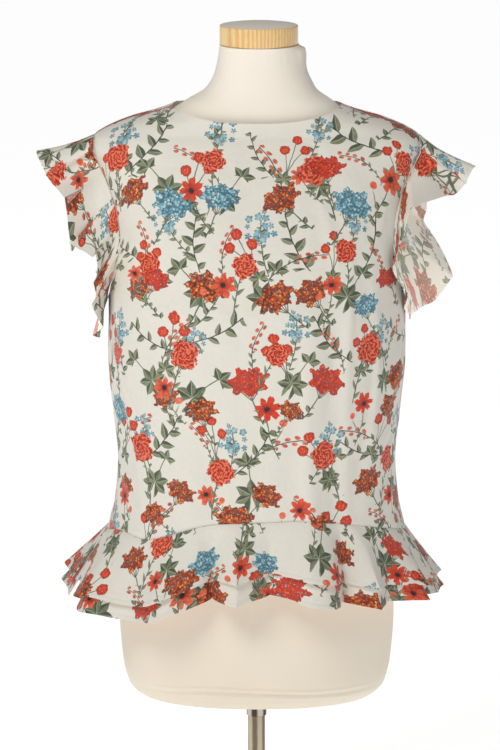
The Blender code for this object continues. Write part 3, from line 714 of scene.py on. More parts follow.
def makeForm():
    halfWidth, front, back = (curveThrough(form["shape"], column) for column in range(3))
    build = bmesh.new()
    rings = []
    for height in formHeights():
        ring = []
        shift = form["neckShift"] * smoothStep((height - 680) / 60)
        for step in range(form["around"]):
            angle = 2 * pi * step / form["around"]
            turn = degrees(angle) - (360 if step * 2 > form["around"] else 0)
            across, ahead = rounded(sin(angle)), rounded(cos(angle))
            depth = front(height) if ahead >= 0 else back(height)
            lift = formLift(turn, height)
            x = (halfWidth(height) + lift) * across + shift
            y = -(depth + lift) * ahead
            ring.append(build.verts.new((x * mm, y * mm, (height + hipHeight) * mm)))
        rings.append(ring)
    for below, above in zip(rings, rings[1:]):
        for step in range(form["around"]):
            after = (step + 1) % form["around"]
            build.faces.new((below[step], below[after], above[after], above[step]))
    build.faces.new(list(reversed(rings[0])))
    build.faces.new(rings[-1])
    for face in build.faces:
        face.smooth = len(face.verts) == 4
    mesh = bpy.data.meshes.new("formCover")
    build.to_mesh(mesh)
    build.free()
    return addObject("formCover", mesh)


class Wire:
    # a shader socket that sums and products can be written with
    def __init__(self, tree, socket=None):
        self.tree, self.socket = tree, socket

    def node(self, kind, settings={}, inputs={}, output=0):
        made = self.tree.nodes.new("ShaderNode" + kind)
        for name, value in settings.items():
            if name == "stops":
                stops = made.color_ramp.elements
                while len(stops) < len(value):
                    stops.new(1.0)
                for stop, (place, colour) in zip(stops, value):
                    stop.position, stop.color = place, colour
            else:
                setattr(made, name, value)
        for name, value in inputs.items():
            if isinstance(value, Wire):
                self.tree.links.new(value.socket, made.inputs[name])
            else:
                made.inputs[name].default_value = value
        return Wire(self.tree, made.outputs[output])

    def maths(self, operation, other=0.0, third=0.0, clamp=False):
        return self.node("Math", {"operation": operation, "use_clamp": clamp}, {0: self, 1: other, 2: third})

    def vector(self, operation, other=(0, 0, 0), third=(0, 0, 0), output=0):
        return self.node("VectorMath", {"operation": operation}, {0: self, 1: other, 2: third}, output)

    def parts(self):
        split = self.node("SeparateXYZ", {}, {0: self}).socket.node
        return [Wire(self.tree, split.outputs[i]) for i in range(3)]

    def other(self, output):
        # another output of the node that this socket belongs to
        return Wire(self.tree, self.socket.node.outputs[output])

    def __add__(self, value):
        return self.maths("ADD", value)

    def __sub__(self, value):
        return self.maths("SUBTRACT", value)

    def __rsub__(self, value):
        return self.node("Math", {"operation": "SUBTRACT"}, {0: value, 1: self})

    def __mul__(self, value):
        return self.maths("MULTIPLY", value)

    def __lt__(self, value):
        return self.maths("LESS_THAN", value)

    def __abs__(self):
        return self.maths("ABSOLUTE")

    __radd__, __rmul__ = __add__, __mul__

    def sine(self):
        return self.maths("SINE")

    def bearing(self, ahead):
        return self.maths("ARCTAN2", ahead)

    def wrap(self, high, low):
        return self.maths("WRAP", high, low)

    def near(self, middle, half):
        # 1 within half of the middle
        return self.maths("COMPARE", middle, half)

    def scaled(self, factor, offset, clamp=False):
        return self.maths("MULTIPLY_ADD", factor, offset, clamp)

    def fit(self, factor, offset=0.0):
        # scaled, shifted and kept between 0 and 1
        return self.scaled(factor, offset, True)

    def grain(self, scale, detail=2.0, **more):
        # soft noise read at this place
        return self.node("TexNoise", {}, {"Vector": self, "Scale": scale, "Detail": detail, **more})

    def cells(self, scale, **more):
        return self.node("TexVoronoi", {}, {"Vector": self, "Scale": scale, **more})

    def ramp(self, *stops):
        return self.node("ValToRGB", {"stops": stops}, {0: self})

    def bump(self, strength, distance):
        return self.node("Bump", {}, {"Strength": strength, "Distance": distance, "Height": self})


def colourChart(codes):
    # linear colours of a paint chart's hex codes
    chart = {}
    for name, code in codes.items():
        shares = [int(code[i:i + 2], 16) / 255 for i in (0, 2, 4)]
        linear = [s / 12.92 if s <= 0.04045 else ((s + 0.055) / 1.055) ** 2.4 for s in shares]
        chart[name] = (*linear, 1.0)
    return chart


def blend(under, over, mask):
    source = next(value for value in (mask, under, over) if isinstance(value, Wire))
    return source.node("Mix", {"data_type": "RGBA"}, {0: mask, 6: under, 7: over}, 2)


def inside(distance, soft=0.5):
    # 1 where a distance in mm is above zero, with a soft edge
    return distance.fit(1 / soft, 0.5)


def newFinish(name, kind="TexCoord", settings={}, output="Object"):
    # a material, and the place on the piece where its pattern is read
    material = bpy.data.materials.new(name)
    material.use_nodes = True
    return material, Wire(material.node_tree).node(kind, settings, {}, output)


def setSockets(material, values):
    shader = material.node_tree.nodes["Principled BSDF"]
    for name, value in values.items():
        if isinstance(value, Wire):
            material.node_tree.links.new(value.socket, shader.inputs[name])
        else:
            shader.inputs[name].default_value = value
    return material


# the printed flowers: each motif is drawn in millimetres about its own middle, stem down
inks = colourChart({
    "ground": "e1ddd2", "groundShade": "d3cec3",
    "deepRed": "9a1c0c", "red": "d23a16", "coral": "ef8b66",
    "deepRust": "561c0a", "rust": "a4350f", "orange": "d45f20", "yellow": "edaa55",
    "deepBlue": "366575", "blue": "699fb2", "paleBlue": "a8cdd4",
    "darkLeaf": "2a3629", "leaf": "5f6a4f", "sage": "898f6f", "olive": "b3b698",
    "stem": "5c6653", "twig": "3a3034", "poppyHeart": "2a1a20",
})

repeat = {
    "rowShift": 0.37,        # how far each row of motifs is shifted from the one below
    "wobble": 1.6,
}


leafLook = {"dark": 0.72, "darkEdge": 2.5, "rib": 0.4, "ribEdge": 0.6, "ribShown": 0.7, "spread": 0.9}


class Drawing:
    # the print so far, and one motif on it: its place p with x and y, a soft wash, a chance and a seed
    def __init__(self, shown, p, wash, luck, seed):
        self.shown, self.p, self.wash, self.luck, self.seed = shown, p, wash, luck, seed
        self.x, self.y, _ = p.parts()

    def lay(self, colour, mask):
        self.shown = blend(self.shown, colour, mask)

    def distance(self, place):
        return self.p.vector("DISTANCE", (*place, 0), output=1)

    def around(self, place):
        # polar place about a flower's middle
        x, y, _ = self.p.vector("SUBTRACT", (*place, 0)).parts()
        return self.distance(place), x.bearing(y)

    def stemMask(self, bend, middle, half, width=0.75):
        away = abs(self.x - self.y * self.y * bend)
        return inside(width - away) * self.y.near(middle, half)

    def stem(self, *shape, ink="stem"):
        self.lay(inks[ink], self.stemMask(*shape))

    def leaf(self, along, away, length, width, within=1.0, wash=None):
        # darker under the midrib, paler towards the tip, with a pale rib
        share = along.fit(1 / length)
        swell = share * (1 - share) * (1.35 - share * 0.7)
        pale = ((wash or self.wash) + self.luck * leafLook["spread"] - 0.35).fit(1.0)
        body = blend(inks["leaf"], inks["sage"], pale)
        body = blend(body, inks["darkLeaf"], inside(away, leafLook["darkEdge"]) * leafLook["dark"])
        rib = inside(leafLook["rib"] - abs(away), leafLook["ribEdge"]) * leafLook["ribShown"]
        self.lay(blend(body, inks["olive"], rib), inside(swell * (4 * width) - abs(away) - 0.25) * within)

    def leafRow(self, bend, spot, period, length, width, lean):
        # leaves that stand alternately on both sides of a stem; spot is the middle and half of their stretch
        across = self.x - self.y * self.y * bend
        up = self.y + (across < 0) * (period / 2)
        grown = (up.maths("SNAP", period) * 1.7 + self.luck * 19).sine().scaled(-0.34, 1.3)
        rung, out = up.wrap(period, 0.0) * grown, abs(across) * grown
        c, s = cos(lean), sin(lean)
        along = out.scaled(c, rung * s)
        away = out.scaled(-s, rung * c) - width * 0.9 * c
        self.leaf(along, away, length, width, self.y.near(*spot), self.wash + (grown - 1.2))

    def leafAt(self, place, angle, length, width):
        local = self.p.node("Mapping", {"vector_type": "TEXTURE"},
                            {0: self.p, "Location": (*place, 0), "Rotation": (0, 0, radians(angle))})
        along, away, _ = local.parts()
        self.leaf(along, away, length, width)

    def leafFan(self, place, sector, spread, length, width):
        # leaves that spread from one point, a sector apart
        reach, angle = self.around(place)
        turn = angle.wrap(sector / 2, -sector / 2)
        along, away = reach * turn.maths("COSINE"), reach * turn.sine()
        self.leaf(along, away, length, width, angle.near(0.0, spread))


floretInks = (
    {0.0: "deepRust", 0.26: "rust", 0.6: "orange", 0.9: "yellow"},
    {0.0: "deepRed", 0.28: "red", 0.62: "red", 0.95: "coral"},
    {0.0: "deepBlue", 0.35: "blue", 0.7: "paleBlue", 1.0: "ground"},
)


def umbel(d):
    # broad lobed head of small florets on a fan of stalks; red, rust or blue by chance
    reach, angle = d.around((0, -20))
    ray = abs(angle.wrap(0.16, -0.16)) * reach
    fan = inside(0.6 - ray) * angle.near(0, 0.85) * (reach < 24)
    d.leafRow(0.003, (-42, 10), 14, 14, 3.4, 0.7)
    d.lay(inks["stem"], d.stemMask(0.003, -36, 17, 0.85).maths("MAXIMUM", fan))
    florets = d.p.vector("ADD", (31 * d.seed, 0, 0)).cells(1 / 3.5)
    centre = florets.other("Position").vector("SUBTRACT", (31 * d.seed, 7, 0))
    centre = centre.vector("MULTIPLY", (1 / 30, 1 / 21, 0))
    u, v, _ = centre.parts()
    lobes = (u.bearing(v) * 7 + d.luck * 40).sine()
    head = centre.vector("LENGTH", output=1) + lobes * 0.13 < 0.84
    chance = florets.other("Color").parts()[0]
    tone = chance * 0.55 + d.wash * 0.7 - florets * 0.5
    rust, reds, blues = (tone.ramp(*((at, inks[ink]) for at, ink in stops.items())) for stops in floretInks)
    isBlue, isRust = d.luck < 0.15, d.luck < 0.62
    back = blend(blend(inks["deepRed"], inks["deepRust"], isRust), inks["deepBlue"], isBlue)
    d.lay(back, head * inside(0.95 - florets, 0.3) * 0.95)
    d.lay(blend(blend(reds, rust, isRust), blues, isBlue), head * florets.fit(-3.5, 2.45))


def carnation(d):
    # frilled red head on a stiff stem with narrow leaves
    d.leafRow(-0.003, (-22, 18), 17, 17, 2.3, 0.95)
    d.stem(-0.003, -20, 26)
    d.leafAt((0, -1), 90, 12, 4.2)
    reach, angle = d.around((0, 16))
    frill = (angle * 9 + d.wash * 6).sine()
    edge = frill * 1.7 + (angle * 4 + d.luck * 6).sine() * 1.2 + 16.0
    rings = (reach * 1.15 + frill * 1.1 + d.wash * 7).sine()
    colour = blend(inks["red"], inks["deepRed"], inside(rings - 0.25, 1.2))
    d.lay(blend(colour, inks["coral"], inside(-0.45 - rings, 0.9) * 0.7), inside(edge - reach))


def poppy(d):
    # open petalled flower with a dark heart, and a bud beside it
    d.leafRow(0.006, (-26, 14), 14, 13, 3.2, 0.6)
    d.stem(0.006, -18, 26, 0.65)
    d.leafAt((9, -24), 62, 20, 1.0)
    d.lay(blend(inks["coral"], inks["red"], d.wash), inside(4.3 - d.distance((17.5, -4))))
    reach, angle = d.around((0, 12))
    petal = abs((angle * 3.5 + d.luck).sine())
    ragged = (angle * 17 + d.wash * 8).sine() * 0.8
    edge = petal.maths("POWER", 0.7) * 7.5 + 7.0 + ragged + (angle + d.luck * 6).sine() * 1.6
    share = reach * (1 / 15)
    colour = blend(inks["deepRed"], inks["red"], (share + d.wash - 0.35).fit(1.2))
    colour = blend(colour, inks["coral"], (d.luck * share * d.wash).fit(1.2))
    d.lay(blend(colour, inks["deepRed"], inside(0.22 - petal, 0.4) * 0.7), inside(edge - reach))
    d.lay(inks["poppyHeart"], inside(3.4 - reach + ragged))


def pompoms(d):
    # three round clover heads on thin stalks, with leaves in threes below
    foot, tall = 34, 40
    d.leafFan((1, -foot), 1.05, 2.6, 13, 3.9)
    rise = d.y.scaled(1 / tall, foot / tall)
    curve = rise * rise
    stalks = nearest = None
    for at, high in ((-13, 14), (1, 25), (12, 6)):
        away = abs(d.x - curve * (at / ((high + foot) / tall) ** 2))
        stalk = inside(0.55 - away) * d.y.near((high - foot) / 2, (high + foot) / 2)
        gap = d.distance((at, high))
        stalks = stalks.maths("MAXIMUM", stalk) if stalks else stalk
        nearest = nearest.maths("MINIMUM", gap) if nearest else gap
    d.lay(inks["stem"], stalks)
    colour = blend(inks["coral"], inks["red"], d.p.cells(1 / 2.1).fit(1.8))
    colour = blend(colour, inks["deepRed"], inside(nearest - 4.6 + d.wash * 2, 3.0) * 0.6)
    d.lay(colour, inside(6.6 + (d.wash - 0.5) * 2.5 - nearest))


def forgetMeNots(d):
    # loose spray of small five-petalled flowers over fine leaves
    d.leafRow(0.004, (-16, 26), 13, 12, 2.7, 0.55)
    d.stem(0.004, -12, 30, 0.6)
    apart = 8.4
    shifted = d.p.vector("ADD", (47 * d.seed, 0, 0))
    cells = shifted.cells(1 / apart, Randomness=0.8)
    centre = cells.other("Position")
    spray = centre.vector("SUBTRACT", (47 * d.seed, 11, 0)).vector("MULTIPLY", (1 / 17, 1 / 20, 0))
    within = spray.vector("LENGTH", output=1) < 1
    dx, dy, _ = shifted.vector("SUBTRACT", centre).parts()
    reach = cells * apart
    chance = cells.other("Color").parts()[1]
    angle = dx.bearing(dy) * 2.5 + chance * 6
    edge = abs(angle.sine()).maths("POWER", 0.6) * 2.0 + 2.5
    colour = blend(inks["blue"], inks["paleBlue"], chance)
    colour = blend(colour, inks["deepBlue"], inside(reach - 2.6 + (d.wash - 0.5) * 5, 2.0) * 0.65)
    d.lay(colour, inside(edge - reach) * within)
    d.lay(inks["yellow"], inside(0.85 - reach) * within)


def branch(d):
    # twig with broad leaves
    d.leafRow(0.005, (0, 36), 19, 21, 4.6, 0.62)
    d.stem(0.005, -3, 37, 0.6, ink="twig")


def leafSpray(d):
    # sage leaves that fan out from the foot of a stalk, with a second fan above
    d.leafFan((0, -18), 0.95, 2.9, 19, 5.2)
    d.stem(-0.004, -2, 30, 0.55)
    d.leafFan((-3, 15), 1.15, 1.9, 15, 4.2)


def buddedTwig(d):
    # dark twig with small red buds
    bend, period = 0.006, 11.0
    d.leafRow(-bend, (-14, 24), 12, 11, 2.2, 0.85)
    d.stem(-bend, 0, 38, 0.55, ink="twig")
    across = d.x + d.y * d.y * bend
    rung = (d.y + (across < 0) * (period / 2)).wrap(period, 0.0) - period / 2
    gap = (abs(across) - 3.4).maths("POWER", 2.0) + (rung * rung) * 0.55
    bud = inside(2.3 - gap.maths("SQRT")) * d.y.near(20, 20)
    d.lay(blend(inks["coral"], inks["deepRed"], d.wash), bud)


layout = [    # motif, cell's size, place in it, jitter in mm, turn in radians, least size, growth by chance
    (branch, (110, 122), (0.33, 0.90), 34, 2.6, 0.85, 0.35),
    (leafSpray, (106, 120), (0.84, 0.12), 30, 2.2, 0.85, 0.35),
    (buddedTwig, (96, 110), (0.05, 0.52), 24, 2.4, 0.8, 0.35),
    (forgetMeNots, (118, 126), (0.62, 0.94), 22, 1.2, 0.9, 0.28),
    (pompoms, (116, 112), (0.86, 0.62), 28, 1.2, 0.85, 0.25),
    (umbel, (108, 120), (0.52, 0.30), 36, 1.3, 0.66, 0.33),
    (poppy, (124, 130), (0.30, 0.64), 34, 1.4, 0.8, 0.35),
    (carnation, (114, 122), (0.10, 0.14), 34, 1.2, 0.8, 0.33),
    (umbel, (122, 134), (0.97, 0.78), 44, 1.6, 0.56, 0.34),
]


def motifPlace(flat, cell, spot, jitter, turn, size, grow, seed):
    # a point's place about the middle of the motif in its own cell, turned, shifted and sized by chance
    width, height = cell
    u, v, _ = flat.vector("MULTIPLY_ADD", (1 / width, 1 / height, 0), (*spot, 0)).parts()
    u = v.maths("FLOOR").scaled(repeat["rowShift"], u)
    place = flat.node("CombineXYZ", {}, {0: u, 1: v, 2: seed + 0.5})
    dice = flat.node("TexWhiteNoise", {}, {"Vector": place.vector("FLOOR")})
    first, second, third = dice.other("Color").parts()
    local = place.vector("FRACTION").vector("MULTIPLY_ADD", (width, height, 0), (-width / 2, -height / 2, 0))
    shift = dice.other("Color").vector("MULTIPLY_ADD", (jitter, jitter, 0), (-jitter / 2, -jitter / 2, 0))
    angle = flat.node("CombineXYZ", {}, {2: dice.scaled(turn, -turn / 2)})
    scale = third.scaled(grow, size)
    mirrored = (first - 0.5).maths("SIGN") * scale
    sizes = flat.node("CombineXYZ", {}, {0: mirrored, 1: scale, 2: 1.0})
    local = flat.node("Mapping", {"vector_type": "TEXTURE"},
                      {0: local, "Location": shift, "Rotation": angle, "Scale": sizes})
    return local, second


def printedCloth():
    # outside of the cloth, and a paler copy of it for the inside with a painted glow
    material, place = newFinish("printedCloth", "UVMap", {"uv_map": "clothMap"}, "UV")
    flat = place.vector("MULTIPLY", (1 / mm, 1 / mm, 0))
    wobble = repeat["wobble"]
    drawn = flat.grain(1 / 14, 1.0).other("Color")
    shift = drawn.vector("MULTIPLY_ADD", (2 * wobble, 2 * wobble, 0), (-wobble, -wobble, 0))
    drawn = flat.vector("ADD", shift)
    wash = flat.grain(1 / 4.5, 3.0, Roughness=0.6).fit(2.2, -0.6)
    colour = blend(inks["ground"], inks["groundShade"], wash * 0.35)
    for seed, (motif, *habit) in enumerate(layout):
        local, luck = motifPlace(drawn, *habit, seed)
        drawing = Drawing(colour, local, wash, luck, seed)
        motif(drawing)
        colour = drawing.shown
    crumple = flat.grain(1 / 42, Roughness=0.5, Distortion=0.5)
    bump = (crumple + flat.grain(1.1, 1.0) * 0.012).bump(0.4, 0.006)
    setSockets(material, {"Base Color": colour, "Roughness": 0.7, "Sheen Weight": 0.15, "Normal": bump})
    lining = material.copy()
    lining.name = "clothInside"
    shader = lining.node_tree.nodes["Principled BSDF"]
    shown = Wire(lining.node_tree, shader.inputs["Base Color"].links[0].from_socket)
    pale = blend(inks["ground"], shown, 0.72)
    height = shown.node("TexCoord", {}, {}, "Object").parts()[2]
    # painted glow: emission on the inside stands in for the light that comes through the cloth, stronger low
    # down where it hangs free
    paintedGlow = blend((0, 0, 0, 1), pale, height.fit(-7.5, 6.0).fit(0.8, 0.2))
    setSockets(lining, {"Base Color": pale, "Emission Color": paintedGlow, "Emission Strength": 0.45})
    return material, lining


# cap, stand and fastening
cap = {"radius": 46.5, "low": 988.3, "high": 1014.4, "dome": 3.1, "rim": 1.6, "shift": 2.5, "steps": 6}
plate = {
    "radius": 140.0, "high": 10.0, "rim": 2.4, "footRim": 0.6,
    "grooveIn": 9.0, "groove": 1.4, "grooveDepth": 0.6,
    "inset": 30.0,           # between the rings of faces on its top
}
pole = {"radius": 10.4, "low": 10.3, "high": 197.7, "rim": 0.8, "line": 1.0}
grip = {"radius": 12.2, "bore": 10.7, "low": 167.7, "high": 197.7, "rim": 0.45}
button = {
    "radius": 5.5, "thick": 2.2, "rim": 0.4, "ring": 1.3, "dish": 0.6, "bowl": 0.7,
    "side": -8.5, "drop": 6.5, "lift": 0.5,
}
loop = {
    "strand": 0.32, "twist": 0.27, "pitch": 2.6, "height": 1.1, "clear": 1.1, "reach": 14.0,
    "ends": 1.6, "neck": (10.0, 3.6), "step": 0.35,
}


def startDrum(name, radius, low, high, corners):
    bpy.ops.object.select_all(action="DESELECT")
    bpy.ops.mesh.primitive_cylinder_add(vertices=corners, radius=radius * mm, depth=(high - low) * mm,
                                        location=(0, 0, (low + high) / 2 * mm))
    piece = bpy.context.object
    piece.name = piece.data.name = name
    bpy.ops.object.transform_apply(location=True, rotation=False, scale=False)
    bpy.ops.object.mode_set(mode="EDIT")
    return piece


def pick(piece, facesWhere=None, edgesWhere=None):
    # selects faces, or edges, by where their middles are in millimetres
    bpy.ops.mesh.select_all(action="DESELECT")
    bpy.ops.mesh.select_mode(type="FACE" if facesWhere else "EDGE")
    build = bmesh.from_edit_mesh(piece.data)
    for face in build.faces if facesWhere else ():
        face.select_set(bool(facesWhere(face.calc_center_median() / mm, face)))
    for edge in build.edges if edgesWhere else ():
        middle = (edge.verts[0].co + edge.verts[1].co) / 2 / mm
        edge.select_set(bool(edgesWhere(middle, edge)))
    build.select_flush_mode()
    bmesh.update_edit_mesh(piece.data)


def pickEnd(piece, height, facing):
    def atEnd(middle, face):
        return abs(middle.z - height) < 0.02 and face.normal.z * facing > 0.9

    pick(piece, facesWhere=atEnd)


def insetBy(inward, up=0.0):
    bpy.ops.mesh.inset(thickness=inward * mm, depth=0)
    if up:
        bpy.ops.transform.translate(value=(0, 0, up * mm))


def roundRim(piece, height, radius, width, segments=3):
    def onRim(middle, edge):
        level = abs(edge.verts[0].co.z - edge.verts[1].co.z) < 1e-6
        return level and abs(middle.z - height) < 0.02 and abs(hypot(middle.x, middle.y) - radius) < 0.2

    pick(piece, edgesWhere=onRim)
    bpy.ops.mesh.bevel(offset=width * mm, segments=segments)


def leaveEditing(piece, angle=35):
    bpy.ops.mesh.select_all(action="SELECT")
    bpy.ops.mesh.normals_make_consistent(inside=False)
    bpy.ops.object.mode_set(mode="OBJECT")
    bpy.ops.object.shade_smooth_by_angle(angle=radians(angle))
    return piece


def makeCap():
    shoulder = cap["high"] - cap["dome"]
    piece = startDrum("neckCap", cap["radius"], cap["low"], shoulder, 96)
    for height in (cap["low"], shoulder):
        roundRim(piece, height, cap["radius"], cap["rim"], 4)
    pickEnd(piece, shoulder, 1)
    flat = cap["radius"] - cap["rim"]
    rises = [cap["dome"] * (1 - (1 - step / cap["steps"]) ** 2.5) for step in range(cap["steps"] + 1)]
    for before, after in zip(rises, rises[1:]):
        insetBy(flat / cap["steps"] * 0.97, after - before)
    pickEnd(piece, cap["low"], -1)
    insetBy(4.0)
    leaveEditing(piece)
    bpy.ops.transform.translate(value=(cap["shift"] * mm, 0, 0))
    bpy.ops.object.transform_apply(location=True, rotation=False, scale=False)
    return piece


def makePlate():
    piece = startDrum("basePlate", plate["radius"], 0, plate["high"], 128)
    roundRim(piece, plate["high"], plate["radius"], plate["rim"], 4)
    roundRim(piece, 0, plate["radius"], plate["footRim"], 2)
    pickEnd(piece, plate["high"], 1)
    insetBy(plate["grooveIn"])
    insetBy(plate["groove"], -plate["grooveDepth"])
    insetBy(plate["groove"], plate["grooveDepth"])
    for _ in range(3):
        insetBy(plate["inset"])
    return leaveEditing(piece)


def makePole():
    piece = startDrum("pole", pole["radius"], pole["low"], pole["high"], 48)
    for height, way in ((pole["high"], 1), (pole["low"], -1)):
        pickEnd(piece, height, way)
        insetBy(pole["line"])
        roundRim(piece, height, pole["radius"], pole["rim"])
    return leaveEditing(piece)


def makeGrip():
    piece = startDrum("poleGrip", grip["radius"], grip["low"], grip["high"], 64)
    for height, way in ((grip["high"], 1), (grip["low"], -1)):
        pickEnd(piece, height, way)
        insetBy(grip["radius"] - grip["bore"])
        bpy.ops.mesh.delete(type="FACE")
    pick(piece, edgesWhere=lambda middle, edge: edge.is_boundary)
    bpy.ops.mesh.bridge_edge_loops()
    for height in (grip["low"], grip["high"]):
        for radius in (grip["radius"], grip["bore"]):
            roundRim(piece, height, radius, grip["rim"])
    return leaveEditing(piece)


def fasteningFrame():
    # the button's place on the back panel: sideways, up along the cloth, outwards
    height = bodice["neckBack"] - button["drop"]
    reach = abs(button["side"]) / bodice["shoulderTip"]
    ring = [Vector((halfWidthAt(z) * rounded(sin(reach)), depthAt["back"](z) * rounded(cos(reach)), z))
            for z in (height - 3, height + 3)]
    up = ring[1] - ring[0]
    up = Vector((0, up.y, up.z)).normalized()
    outwards = Vector((0, up.z, -up.y))
    middle = (ring[0] + ring[1]) / 2
    place = Vector((button["side"], middle.y, height + hipHeight)) * mm
    return Matrix.Translation(place) @ Matrix((Vector((1, 0, 0)), up, outwards)).transposed().to_4x4()


def setInPlace(piece):
    makeActive(piece)
    piece.matrix_world = fasteningFrame()
    bpy.ops.object.transform_apply(location=True, rotation=True, scale=False)
    return piece


def makeButton():
    low = button["lift"]
    high = low + button["thick"]
    piece = startDrum("button", button["radius"], low, high, 48)
    for height in (low, high):
        roundRim(piece, height, button["radius"], button["rim"])
    pickEnd(piece, high, 1)
    insetBy(button["ring"])
    insetBy(button["bowl"], -button["dish"])
    insetBy(1.2, -0.15)
    leaveEditing(piece)
    return setInPlace(piece)


def makeLoop():
    # thread cord of two twisted strands from the keyhole's other edge round the button
    reach = button["radius"] + loop["clear"]
    (neckX, neckY), end = loop["neck"], (loop["reach"], loop["ends"])
    bend = [(reach * cos(a), reach * sin(a)) for a in (radians(60 + 15 * i) for i in range(17))]
    path = [end, (neckX, neckY), *bend, (neckX, -neckY), (end[0], -end[1])]
    lengths = list(accumulate((dist(before, after) for before, after in zip(path, path[1:])), initial=0.0))
    curve = bpy.data.curves.new("buttonLoop", "CURVE")
    curve.dimensions = "3D"
    curve.bevel_depth = loop["strand"] * mm
    curve.bevel_resolution = 2
    curve.use_fill_caps = True
    steps = int(lengths[-1] / loop["step"])
    for phase in (0.0, pi):
        line = curve.splines.new("POLY")
        line.points.add(steps)
        for index in range(steps + 1):
            target = lengths[-1] * index / steps
            part = min(bisect_right(lengths, target) - 1, len(path) - 2)
            share = (target - lengths[part]) / (lengths[part + 1] - lengths[part])
            (x1, y1), (x2, y2) = path[part], path[part + 1]
            turn = target / loop["pitch"] * 2 * pi + phase
            away = Vector((y1 - y2, x2 - x1)).normalized() * sin(turn)
            line.points[index].co = ((x1 + (x2 - x1) * share + away.x * loop["twist"]) * mm,
                                     (y1 + (y2 - y1) * share + away.y * loop["twist"]) * mm,
                                     (loop["height"] + cos(turn) * loop["twist"]) * mm, 1)
    piece = addObject("buttonLoop", curve)
    makeActive(piece)
    bpy.ops.object.convert(target="MESH")
    return setInPlace(piece)


tones = colourChart({
    "jersey": "f0e8db", "jerseyLowWarmShade": "e3d7c2", "jerseyShade": "d2c2a6",
    "grain": "c08d54", "wood": "dcab6c", "paleWood": "ebcb90", "capTop": "f4eee4",
    # the steel and chrome pairs are the dark and light ends of painted reflection bands
    "steelDark": "766a58", "steel": "bcae98", "chromeDark": "433d36", "chrome": "b3aa9c",
    "paint": "dedbd5", "paintShade": "cfccc6", "pearl": "d8cbbb", "palePearl": "efe7da",
    "thread": "cfc6b6", "paleThread": "ece6da", "floor": "fafafa", "floorShade": "f4f4f4",
})


def jerseyFinish():
    # fine cream knit, a little warmer low down and a little darker there, the darkening a painted shade for
    # light that falls off downwards
    material, place = newFinish("creamJersey")
    knit = place.vector("MULTIPLY", (1, 1, 0.7)).cells(900.0)
    # painted shade: the knit turns darker, and warmer, towards the bottom of the form
    colour = blend(tones["jersey"], tones["jerseyLowWarmShade"], place.parts()[2].fit(-1.25, 1.2) * 0.75)
    colour = blend(colour, tones["jerseyShade"], place.grain(9.0).fit(1.6, -0.6) * 0.25)
    return setSockets(material, {"Base Color": colour, "Roughness": 0.85, "Sheen Weight": 0.2,
                                 "Normal": knit.bump(0.25, 0.0004)})


def woodFinish():
    # varnished pale wood with upright grain
    material, place = newFinish("capWood")
    x, y, z = place.parts()
    stretched = place.vector("MULTIPLY", (1, 1, 0.12))
    drift, fibre = stretched.grain(55.0, 3.0), stretched.grain(900.0)
    rings = (x * 1300 + y * 700 + drift * 11).sine().scaled(0.5, 0.5)
    tone = (rings * 0.38 + fibre * 0.6 + drift * 0.25).fit(1.0)
    colour = tone.ramp((0.12, tones["grain"]), (0.42, tones["wood"]), (0.8, tones["paleWood"]))
    onTop = (z * 1000).maths("SUBTRACT", cap["high"] - cap["dome"] - 0.6).fit(1.2)
    return setSockets(material, {"Base Color": blend(colour, tones["capTop"], onTop * 0.85),
                                 "Roughness": fibre.scaled(0.25, 0.25), "Coat Weight": 0.35,
                                 "Coat Roughness": 0.18, "Normal": fibre.bump(0.2, 0.0003)})


def metalFinish(name, dark, light, roughness, streak):
    # drawn steel with fine streaks along the pole, and painted reflections in dark and light bands round it
    material, place = newFinish(name)
    streaks = place.vector("MULTIPLY", (1, 1, 0.02)).grain(1400.0)
    smudges = place.grain(45.0, 3.0)
    x, y, _ = place.parts()
    # painted reflection: dark and light bands round the pole, wobbled by the smudges
    bands = (x.bearing(y) * 5 + smudges).sine().fit(0.9, 0.5)
    rough = (streaks * streak + smudges * streak).maths("ADD", roughness - streak)
    return setSockets(material, {"Base Color": blend(tones[dark], tones[light], bands), "Metallic": 1.0,
                                 "Roughness": rough, "Normal": streaks.bump(0.15, 0.0001)})


def paintFinish():
    # powder coat with a fine orange-peel skin
    material, place = newFinish("basePaint")
    cloudy = place.grain(14.0, 3.0)
    return setSockets(material, {"Base Color": blend(tones["paintShade"], tones["paint"], cloudy),
                                 "Roughness": cloudy.scaled(0.15, 0.38),
                                 "Normal": place.grain(700.0, 1.0).bump(0.3, 0.0003)})


def buttonFinish():
    # creamy pearl plastic with drifting bands
    material, place = newFinish("buttonPearl")
    bands = (place.grain(260.0) * 26).sine().scaled(0.5, 0.5)
    return setSockets(material, {"Base Color": blend(tones["palePearl"], tones["pearl"], bands),
                                 "Roughness": bands.scaled(0.12, 0.2), "Coat Weight": 0.5})


def threadFinish():
    material, place = newFinish("ecruThread")
    fibre = place.vector("MULTIPLY", (1, 1, 3)).grain(2600.0)
    return setSockets(material, {"Base Color": blend(tones["thread"], tones["paleThread"], fibre),
                                 "Roughness": 0.8, "Normal": fibre.bump(0.4, 0.0001)})


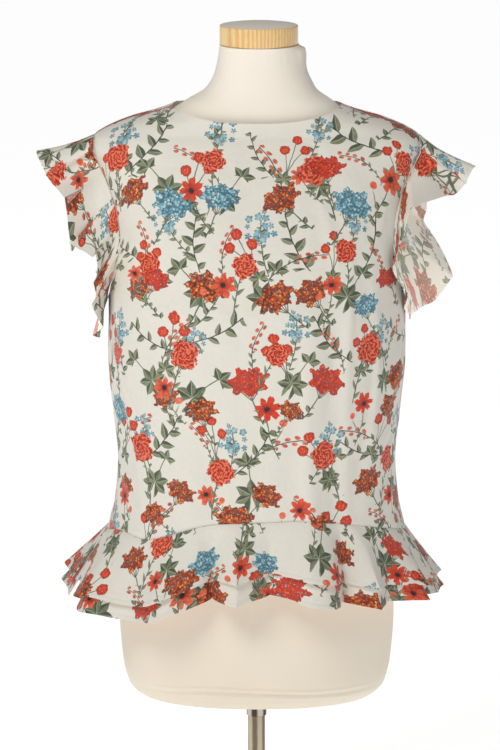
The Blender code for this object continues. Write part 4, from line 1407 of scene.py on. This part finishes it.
def addFloor():
    reach = backdrop["floorReach"]
    mesh = bpy.data.meshes.new("floor")
    mesh.from_pydata([(-reach, -reach, 0), (reach, -reach, 0), (reach, reach, 0), (-reach, reach, 0)], [],
                     [(0, 1, 2, 3)])
    material, place = newFinish("paleFloor")
    mesh.materials.append(setSockets(material, {
        "Base Color": blend(tones["floorShade"], tones["floor"], place.grain(30.0)), "Roughness": 0.9,
        "Emission Color": (1, 1, 1, 1), "Emission Strength": backdrop["floorGlow"]}))
    return addObject("floor", mesh)


def addBackdrop():
    # white behind the form, softer as a light
    world = bpy.data.worlds.new("studio")
    bpy.context.scene.world = world
    world.use_nodes = True
    sky = world.node_tree.nodes["Background"].inputs
    sky["Color"].default_value = (1, 1, 1, 1)
    seen = Wire(world.node_tree).node("LightPath", {}, {}, "Is Camera Ray")
    strength = seen.scaled(backdrop["seen"], backdrop["light"])
    world.node_tree.links.new(strength.socket, sky["Strength"])
    bpy.context.scene.view_settings.view_transform = "Standard"


clothFinishes.extend(printedCloth())
print("print", len(clothFinishes[0].node_tree.nodes), "nodes")


def keep(piece, node):
    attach(piece, rootBody)
    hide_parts(node)
    print("piece", node, len(piece.data.polygons))


for side, creases, seed in (("front", frontCreases, 3), ("back", backCreases, 8)):
    keep(makeBodice(side, creases, seed), side + "_bodice")
for hand, seed in (("left", 1), ("right", 2)):
    keep(makeSleeve(hand, seed), "sleeve_" + hand)
for side in ("front", "back"):
    for tier, seed in (("upper", 1), ("lower", 2)):
        keep(makePeplum(side, tier, seed), "peplum_" + tier + "_" + side)

hardPieces = [
    (makeForm, jerseyFinish(), "form_torso", "form_jersey"),
    (makeCap, woodFinish(), "neck_cap", "cap_wood"),
    (makePole, metalFinish("poleSteel", "steelDark", "steel", 0.34, 0.12), "pole", "pole_metal"),
    (makeGrip, metalFinish("gripChrome", "chromeDark", "chrome", 0.16, 0.06), "pole_sleeve", "sleeve_chrome"),
    (makePlate, paintFinish(), "base_plate", "base_metal"),
    (makeButton, buttonFinish(), "button", "button"),
    (makeLoop, threadFinish(), "button_loop", "thread"),
]
for make, finish, node, slotName in hardPieces:
    piece = make()
    piece.data.materials.clear()
    piece.data.materials.append(finish)
    keep(piece, node)

addFloor()
addBackdrop()
addCamera()
for name, lamp in lamps.items():
    addLamp(name, *lamp)

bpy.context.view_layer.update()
